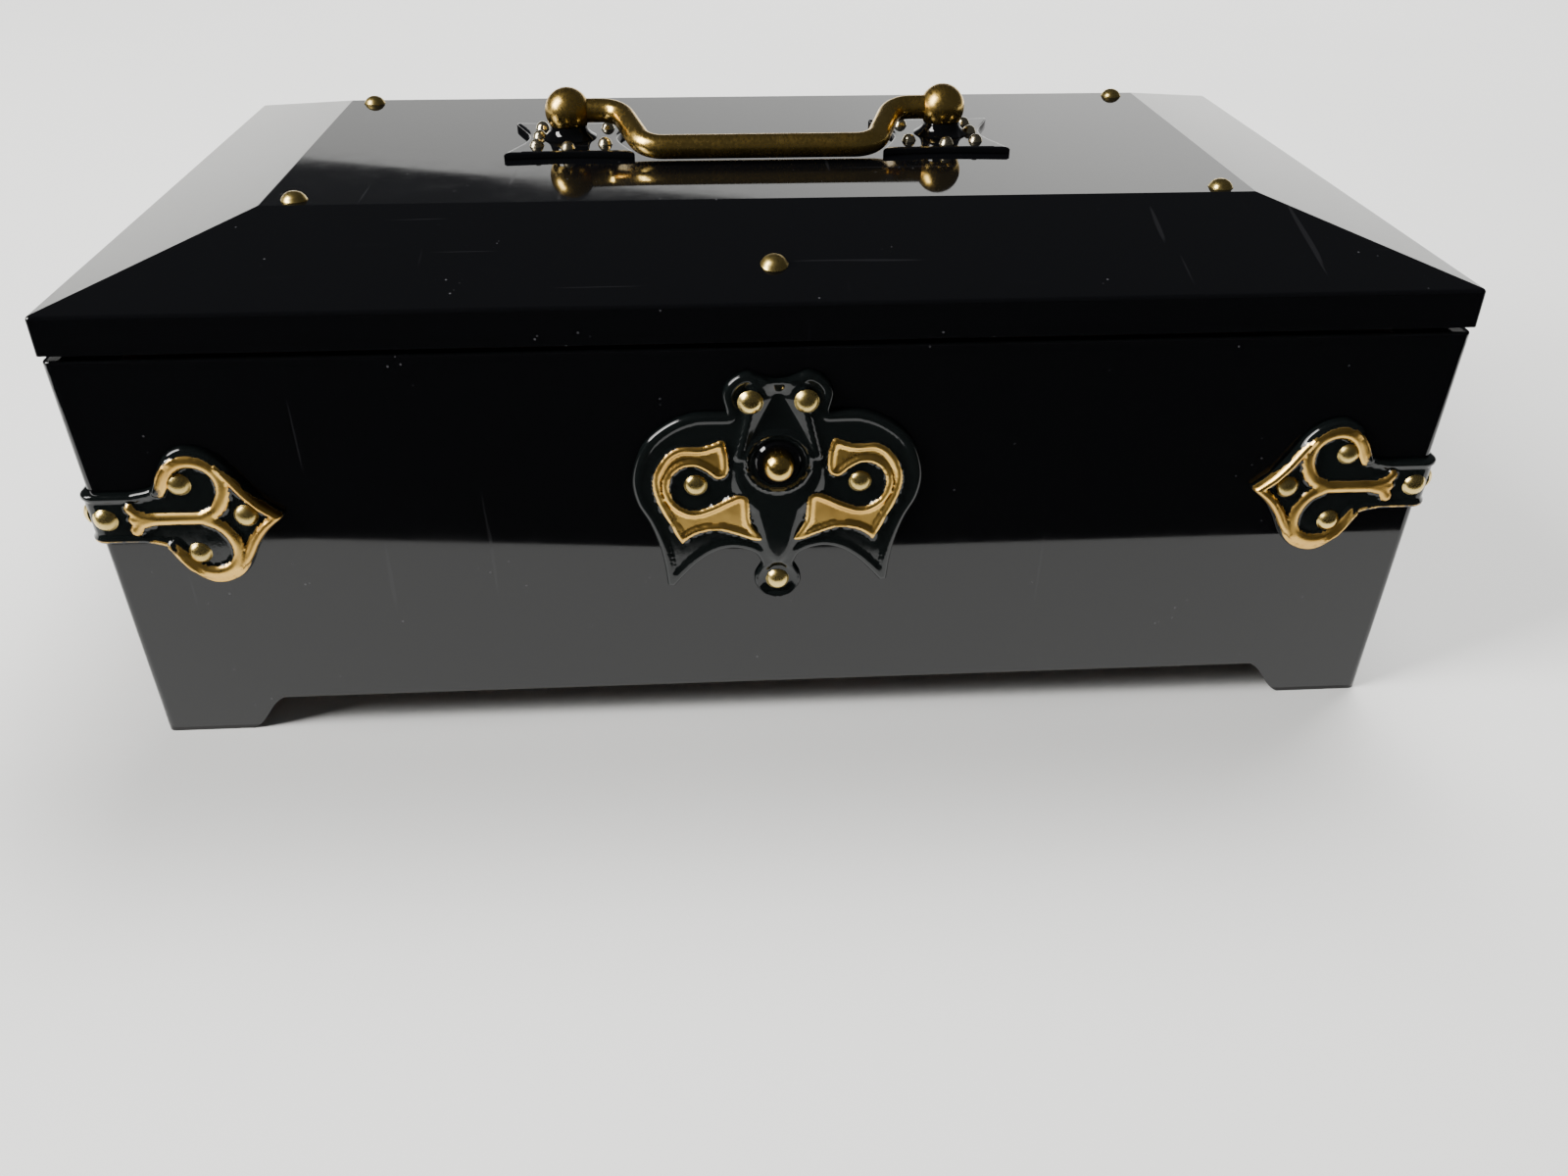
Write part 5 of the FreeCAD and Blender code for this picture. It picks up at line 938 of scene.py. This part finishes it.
for index, (name, (start, end), place) in enumerate(wall_cards):
    outline = card_outline(start, end, WALL_LOW, WALL_HIGH)
    padded_card(name, outline, place, CARD, 0.35, 20 + index, 0.14)


def tray_corner(name, y, way):
    """A quarter-round velvet pad in a right corner of the tray."""
    radius = CORNER_TURN + 1.0
    centre_x, centre_y = TRAY_RIGHT - radius, y - way * radius

    def place(flat, h):
        angle, reach = flat[:, 0] / CORNER_TURN, radius - h
        x, y = centre_x + reach * np.cos(angle), centre_y + way * reach * np.sin(angle)
        return np.stack([x, y, flat[:, 1]], 1)

    outline = card_outline(0.1, CORNER_TURN * math.pi / 2 - 0.1, WALL_LOW, WALL_HIGH, 0.5)
    padded_card(name, outline, place, CARD - 0.1, 0.05, 31, 0.05, 0.8)


tray_corner("tray_corner_pad_front", TRAY_FRONT, -1)
tray_corner("tray_corner_pad_back", TRAY_BACK, 1)
flange_cards = (("rim_pad_front_left", (TRAY_LEFT, -CATCH_HALF, -FLANGE_Y, TRAY_FRONT + CARD)),
                ("rim_pad_front_right", (CATCH_HALF, FLANGE_X, -FLANGE_Y, TRAY_FRONT + CARD)),
                ("rim_pad_back", (TRAY_LEFT, FLANGE_X, TRAY_BACK - CARD, FLANGE_Y)),
                ("rim_pad_right", (TRAY_RIGHT - CARD, FLANGE_X, TRAY_FRONT + CARD, TRAY_BACK - CARD)))
for index, (name, bounds) in enumerate(flange_cards):
    padded_card(name, card_outline(*bounds), facing_up(FLANGE_LOW), 1.1, 0.1, 40 + index, 0.04)

LINING_X, LINING_Y, LINING_LOW, LINING_THICK = 91.6, 54.6, 63.0, 1.4
NOTCH_HALF, NOTCH_DEPTH = 8.0, 9.0
TUFT_PITCH, TUFT_REACH, SEAM_PITCH = 24, 40, 48
PAD_VOXEL, PAD_SWELL, PAD_SPREAD = 2.6 * MM, 4 * MM, 1.2 * MM
PAD_FULL = 3.1


def slack_lining(point):
    """The lining's space, drawn in a little at the sides and hung below its ceiling for the cloth to fill."""
    point.x *= 0.985
    point.y *= 0.98
    point.z = (LINING_LOW + LINING_THICK) * MM - (point.z - LINING_LOW * MM) * 2.2


def swollen(piece, rest):
    """Where the cloth's points lie once it is blown up, no further than the pad may swell."""
    cloth = piece.modifiers.new("swell", "CLOTH")
    cloth.settings.quality = 5
    cloth.settings.use_pressure = True
    cloth.settings.uniform_pressure_force = 4.0
    cloth.settings.tension_stiffness = cloth.settings.compression_stiffness = 8.0
    cloth.settings.effector_weights.gravity = 0.0
    cloth.collision_settings.use_self_collision = False
    scene = bpy.context.scene
    for number in range(1, 21):
        scene.frame_set(number)
    full = settled(piece)
    move = np.array([v.co[:] for v in full.vertices]) - rest
    piece.modifiers.clear()
    scene.frame_set(1)
    bpy.data.meshes.remove(full)
    length = np.linalg.norm(move, axis=1)
    move *= np.minimum(1, PAD_SWELL / np.maximum(length, 1e-9))[:, None]
    move[:, :2] = np.clip(move[:, :2], -PAD_SPREAD, PAD_SPREAD)
    return rest + move


def quilting(x, y):
    """How far the tufts and the crossing seams pull the satin in, as a share of the pad."""
    tuft = np.full(len(x), 1e9)
    for i, column in enumerate(np.arange(-3 * TUFT_PITCH, 3 * TUFT_PITCH + 1, TUFT_PITCH)):
        for row in np.arange(-36, 37, TUFT_PITCH) + (TUFT_PITCH / 2 if i % 2 else 0):
            if abs(row) <= TUFT_REACH:
                tuft = np.minimum(tuft, np.hypot(x - column, y - row))
    dimple = 0.75 * np.exp(-(tuft / 2.2) ** 2)
    for way in (1, -1):
        seam = ((x + way * 2 * y + TUFT_PITCH) / SEAM_PITCH) % 1
        seam = np.minimum(seam, 1 - seam) * SEAM_PITCH / math.sqrt(5)
        dimple = np.maximum(dimple, 0.42 * np.exp(-(seam / 1.5) ** 2))
    return dimple


def lid_pad():
    """A satin pad swollen by a cloth simulation inside the lining's space, then quilted."""
    piece = placed("lid_lining_pad", welded("lid_lining", slack_lining))
    remesh = piece.modifiers.new("even", "REMESH")
    remesh.mode, remesh.voxel_size = "VOXEL", PAD_VOXEL
    bpy.context.view_layer.update()
    even = settled(piece)
    piece.modifiers.clear()
    piece.data = even
    points = np.array([v.co[:] for v in even.vertices])
    points = swollen(piece, points)
    points = points / MM
    flat = np.clip(points[:, :2], (-LINING_X + 0.1, -LINING_Y + 0.1), (LINING_X - 0.1, LINING_Y - 0.1))
    side, back = NOTCH_HALF + 0.4, -LINING_Y + NOTCH_DEPTH + 0.4
    notch = (np.abs(flat[:, 0]) < side) & (flat[:, 1] < back)
    beside = notch & (np.abs(flat[:, 0]) > NOTCH_HALF - 1.5)
    flat[beside, 0] = np.sign(flat[beside, 0]) * side
    flat[notch & ~beside, 1] = back
    x, y = flat[:, 0], flat[:, 1]
    top = LINING_LOW + LINING_THICK
    share = np.clip((top - points[:, 2]) / PAD_FULL, 0, 1.15)
    edge = np.minimum(LINING_X - np.abs(x), LINING_Y - np.abs(y))
    crown = 0.55 + 0.45 * np.clip(edge / 7.0, 0, 1) ** 0.5
    pull = 0.09 * np.sin(x * 0.9 + np.sin(y * 0.23) * 2.2) * np.exp(-edge / 12)
    depth = LINING_THICK * np.clip(share * crown * (1 - quilting(x, y)) + pull * share, 0, 0.98)
    for vert, place, down in zip(even.vertices, flat, depth):
        vert.co = Vector((*place, top - down)) * MM
    even.materials.append(SATIN)
    for face in even.polygons:
        face.use_smooth = True
    finer = piece.modifiers.new("finer", "SUBSURF")
    finer.levels = finer.render_levels = 1
    return piece


pad = lid_pad()
finished(pad, "lid", "satin", "lid_lining")


def pressed_spring():
    """The button's coil, a fixed copy of the CAD spring on the box; a real coil shortens towards its bracket as
    the button goes in, and this copy does not.
    """
    mesh = welded("button_spring")
    mesh.materials.append(BLUED)
    piece = placed("button_coil", mesh)
    finished(piece, "box", "spring_steel", "button_spring")
    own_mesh(piece)


pressed_spring()


def cord_nodes():
    """Strands twisted round a path into a cord."""
    g = Growth("twisted_cord", "Cord", Path="Geometry", Strand_radius="Float", Lay_radius="Float",
               Twists="Float", Strands="Int", Points="Int", Finish="Material")
    given = g.given
    path = g.add("GeometryNodeMeshToCurve", {"Mesh": given["Path"]})
    even = g.add("GeometryNodeResampleCurve", {"Curve": path["Curve"], "Count": given["Points"]})
    copies = g.add("GeometryNodeDuplicateElements", {"Geometry": even["Curve"], "Amount": given["Strands"]},
                   domain="SPLINE")
    along = g.add("GeometryNodeSplineParameter", {})
    tangent, normal = g.add("GeometryNodeInputTangent", {}), g.add("GeometryNodeInputNormal", {})
    turns = g.math("MULTIPLY", along["Factor"], given["Twists"])
    start = g.math("DIVIDE", copies["Duplicate Index"], given["Strands"])
    angle = g.math("MULTIPLY", g.math("ADD", turns, start), 2 * math.pi)
    aside = g.add("ShaderNodeVectorRotate", {"Vector": normal["Normal"], "Axis": tangent["Tangent"],
                                             "Angle": angle}, rotation_type="AXIS_ANGLE")
    reach = g.scaled(aside["Vector"], given["Lay radius"])
    moved = g.add("GeometryNodeSetPosition", {"Geometry": copies["Geometry"], "Offset": reach})
    section = g.add("GeometryNodeCurvePrimitiveCircle", {"Resolution": 8, "Radius": given["Strand radius"]})
    skin = g.add("GeometryNodeCurveToMesh", {"Curve": moved["Geometry"], "Profile Curve": section["Curve"],
                                             "Fill Caps": True})
    return g.finish(g.add("GeometryNodeSetShadeSmooth", {"Geometry": skin["Mesh"]})["Geometry"])


CORDS = cord_nodes()
STRAND, LAY, TWIST_LENGTH, CORD_STEP = 0.38, 0.34, 3.0, 0.42


def edge_cord(name, corners, node):
    """A twisted cord laid along the tray's mouth."""
    mesh = bpy.data.meshes.new(name + "_path")
    mesh.from_pydata([Vector(c) * MM for c in corners], [(i, i + 1) for i in range(len(corners) - 1)], [])
    length = sum(math.dist(p, q) for p, q in zip(corners, corners[1:]))
    piece = grown(name, mesh, CORDS, {"Strand radius": STRAND * MM, "Lay radius": LAY * MM, "Strands": 2,
                                      "Twists": length / TWIST_LENGTH, "Points": int(length / CORD_STEP),
                                      "Finish": CORD})
    finished(piece, "box", "satin", node)
    return piece


def rounded_run(corners, radius):
    """The corners joined by straight lines with small arcs between them."""
    out = [corners[0]]
    for a, b, c in zip(corners, corners[1:], corners[2:]):
        p, q, r = (np.array(v, float) for v in (a, b, c))
        into, away = (p - q) / np.linalg.norm(p - q), (r - q) / np.linalg.norm(r - q)
        for i in range(6):
            s = i / 5
            out.append(tuple(q + into * radius * (1 - s) ** 2 + away * radius * s ** 2))
    return out + [corners[-1]]


CORD_Z = FLANGE_HIGH + 0.55
CORD_INSET = 0.9
left, right = TRAY_LEFT + CORD_INSET, TRAY_RIGHT - CORD_INSET
front, back = TRAY_FRONT + CORD_INSET, TRAY_BACK - CORD_INSET
catch_x, catch_y = CATCH_HALF + CORD_INSET, CATCH_BACK + CORD_INSET
mouth = [(x, y, CORD_Z) for x, y in ((left, front), (-catch_x, front), (-catch_x, catch_y), (catch_x, catch_y),
                                     (catch_x, front), (right, front), (right, back), (left, back),
                                     (left, front + 1.0))]
edge_cord("tray_edge_cord", rounded_run(mouth, 1.6), "lining_tray")

# ---------------------------------------------------------------- camera, floor and light
YAW, PITCH, ROLL = math.radians(3.9025), math.radians(32.250), math.radians(0.2998)
ahead = Vector((math.sin(YAW) * math.cos(PITCH), math.cos(YAW) * math.cos(PITCH), -math.sin(PITCH)))
level = Vector((math.cos(YAW), -math.sin(YAW), 0))
upright = level.cross(ahead)
right = math.cos(ROLL) * level + math.sin(ROLL) * upright
up = math.cos(ROLL) * upright - math.sin(ROLL) * level
eye = Vector((-10.446, -224.567, 128.817)) * MM
camera = placed("camera", bpy.data.cameras.new("camera"))
camera.matrix_world = Matrix([(a, b, -c, d) for a, b, c, d in zip(right, up, ahead, eye)] + [(0, 0, 0, 1)])
camera.data.sensor_width = 36.0
camera.data.lens = 30.885525
camera.data.clip_start = 0.01
bpy.context.scene.camera = camera


def paper_floor():
    f = Finish("paper_floor", Roughness=0.8, Specular_IOR_Level=0.15)
    f.colour(f.blend(f.noise(6, 4), (0.88, 0.885, 0.875, 1), (0.82, 0.825, 0.82, 1)))
    f.bump(f.noise(900, 3), 0.00005, 0.25)
    return f.material


def sweep():
    """A pale floor that curves up into a low wall behind the box."""
    bm = bmesh.new()
    bend, radius = 0.75, 0.25
    profile = [(-1.2, 0.0), (-0.5, 0.0), (0.0, 0.0), (0.5, 0.0), (bend, 0.0)]
    for i in range(1, 13):
        a = math.pi / 2 * i / 12
        profile.append((bend + radius * math.sin(a), radius * (1 - math.cos(a))))
    profile.append((bend + radius, radius + 0.002))
    rows = [[bm.verts.new((x, y, z)) for x in (-2.4, -0.8, 0.8, 2.4)] for y, z in profile]
    for a, b in zip(rows, rows[1:]):
        for i in range(3):
            bm.faces.new([a[i], a[i + 1], b[i + 1], b[i]])
    mesh = bpy.data.meshes.new("floor")
    bm.to_mesh(mesh)
    bm.free()
    for face in mesh.polygons:
        face.use_smooth = True
    mesh.materials.append(paper_floor())
    placed("floor", mesh)


def card(name, corners, *glow):
    """A card that only gloss sees, dark or glowing, which paints a reflection; the glow gives (x in metres,
    strength) stops of the painted light, and the card is no lamp.
    """
    mesh = bpy.data.meshes.new(name)
    mesh.from_pydata(corners, [], [tuple(range(len(corners)))])
    f = Finish(name, Base_Color=(0.01, 0.01, 0.01, 1), Roughness=1.0, Specular_IOR_Level=0.0)
    if glow:
        apart = f.add("ShaderNodeSeparateXYZ")
        f.feed(f.place, apart.inputs[0])
        left, right, most = glow[0][0], glow[-1][0], max(strength for _, strength in glow)
        across = f.span(apart.outputs["X"], left, right, 0, 1)
        level = f.ramp(across, *[((x - left) / (right - left), strength / most) for x, strength in glow])
        # Emission paints a glowing reflection; this card is no lamp.
        f.shader.inputs["Emission Color"].default_value = (1.0, 1.0, 0.98, 1)
        f.to_shader(f.math("MULTIPLY", level, most), "Emission Strength")
    mesh.materials.append(f.material)
    piece = placed(name, mesh)
    piece.visible_camera = False
    piece.visible_diffuse = False
    piece.visible_shadow = False
    piece.visible_transmission = False


def lamp(name, place, target, size, power, colour=(1, 1, 1)):
    data = bpy.data.lights.new(name, "AREA")
    data.shape = "RECTANGLE"
    data.size, data.size_y = size
    data.energy = power
    data.color = colour
    light = placed(name, data)
    light.location = place
    light.rotation_euler = (Vector(target) - Vector(place)).to_track_quat("-Z", "Y").to_euler()
    return light


sweep()
EDGE_LEFT, EDGE_RIGHT, EDGE_TURN, FEET = -0.109, -0.101, -0.085, -0.0565
DARK_REFLECTION_HALF, DARK_REFLECTION_BACK, GLOW_HALF, WALL_Y = 1.5, -1.2, 0.4, 0.99
dark_reflection_outline = ((-DARK_REFLECTION_HALF, DARK_REFLECTION_BACK), (DARK_REFLECTION_HALF, DARK_REFLECTION_BACK), (DARK_REFLECTION_HALF, EDGE_RIGHT), (0.0, EDGE_RIGHT),
        (EDGE_TURN, EDGE_LEFT), (-DARK_REFLECTION_HALF, EDGE_LEFT))
glow = ((-GLOW_HALF, EDGE_LEFT), (EDGE_TURN, EDGE_LEFT), (0.0, EDGE_RIGHT), (GLOW_HALF, EDGE_RIGHT),
        (GLOW_HALF, FEET), (-GLOW_HALF, FEET))
wall = ((-1.1, 0.0), (1.6, 0.0), (1.6, 0.42), (0.2, 0.387), (-0.04, 0.361), (-0.44, 0.319), (-1.1, 0.25))
# Painted dark reflection: a dark sheet over the floor in front of the box that only gloss sees, so glossy faces
# mirror dark there.
card("dark_flag", [(x, y, 0.0006) for x, y in dark_reflection_outline])
# Painted floor reflection: a glowing strip just in front of the feet that only gloss sees, brighter to the
# left; it is no lamp.
card("bright_floor", [(x, y, 0.0005) for x, y in glow], (-GLOW_HALF, 1.7), (GLOW_HALF, 1.4))
# Painted wall reflection: a glowing card just before the back wall that only gloss sees, its glow strongest
# right of the middle; it is no lamp.
card("bright_wall", [(x, WALL_Y, z) for x, z in wall],
     (-1.1, 0.03), (-0.62, 0.05), (-0.56, 0.14), (-0.49, 0.62), (-0.41, 0.92), (-0.1, 1.0), (0.1, 1.15),
     (0.3, 1.45), (0.55, 1.6), (0.61, 1.15), (0.68, 0.65), (1.6, 0.3))
lamp("window", (-1.05, -0.34, 0.85), (0, 0, 0.05), (0.5, 0.85), 33, (1.0, 0.985, 0.96))
fill = lamp("high_fill", (0.35, 0.75, 1.5), (0, 0.35, 0), (1.2, 0.8), 52, (1.0, 0.99, 0.97))
fill.visible_glossy = False
world = bpy.data.worlds.new("studio")
bpy.context.scene.world = world
world.use_nodes = True
world.node_tree.nodes["Background"].inputs["Color"].default_value = (0.55, 0.57, 0.60, 1)
world.node_tree.nodes["Background"].inputs["Strength"].default_value = 0.085
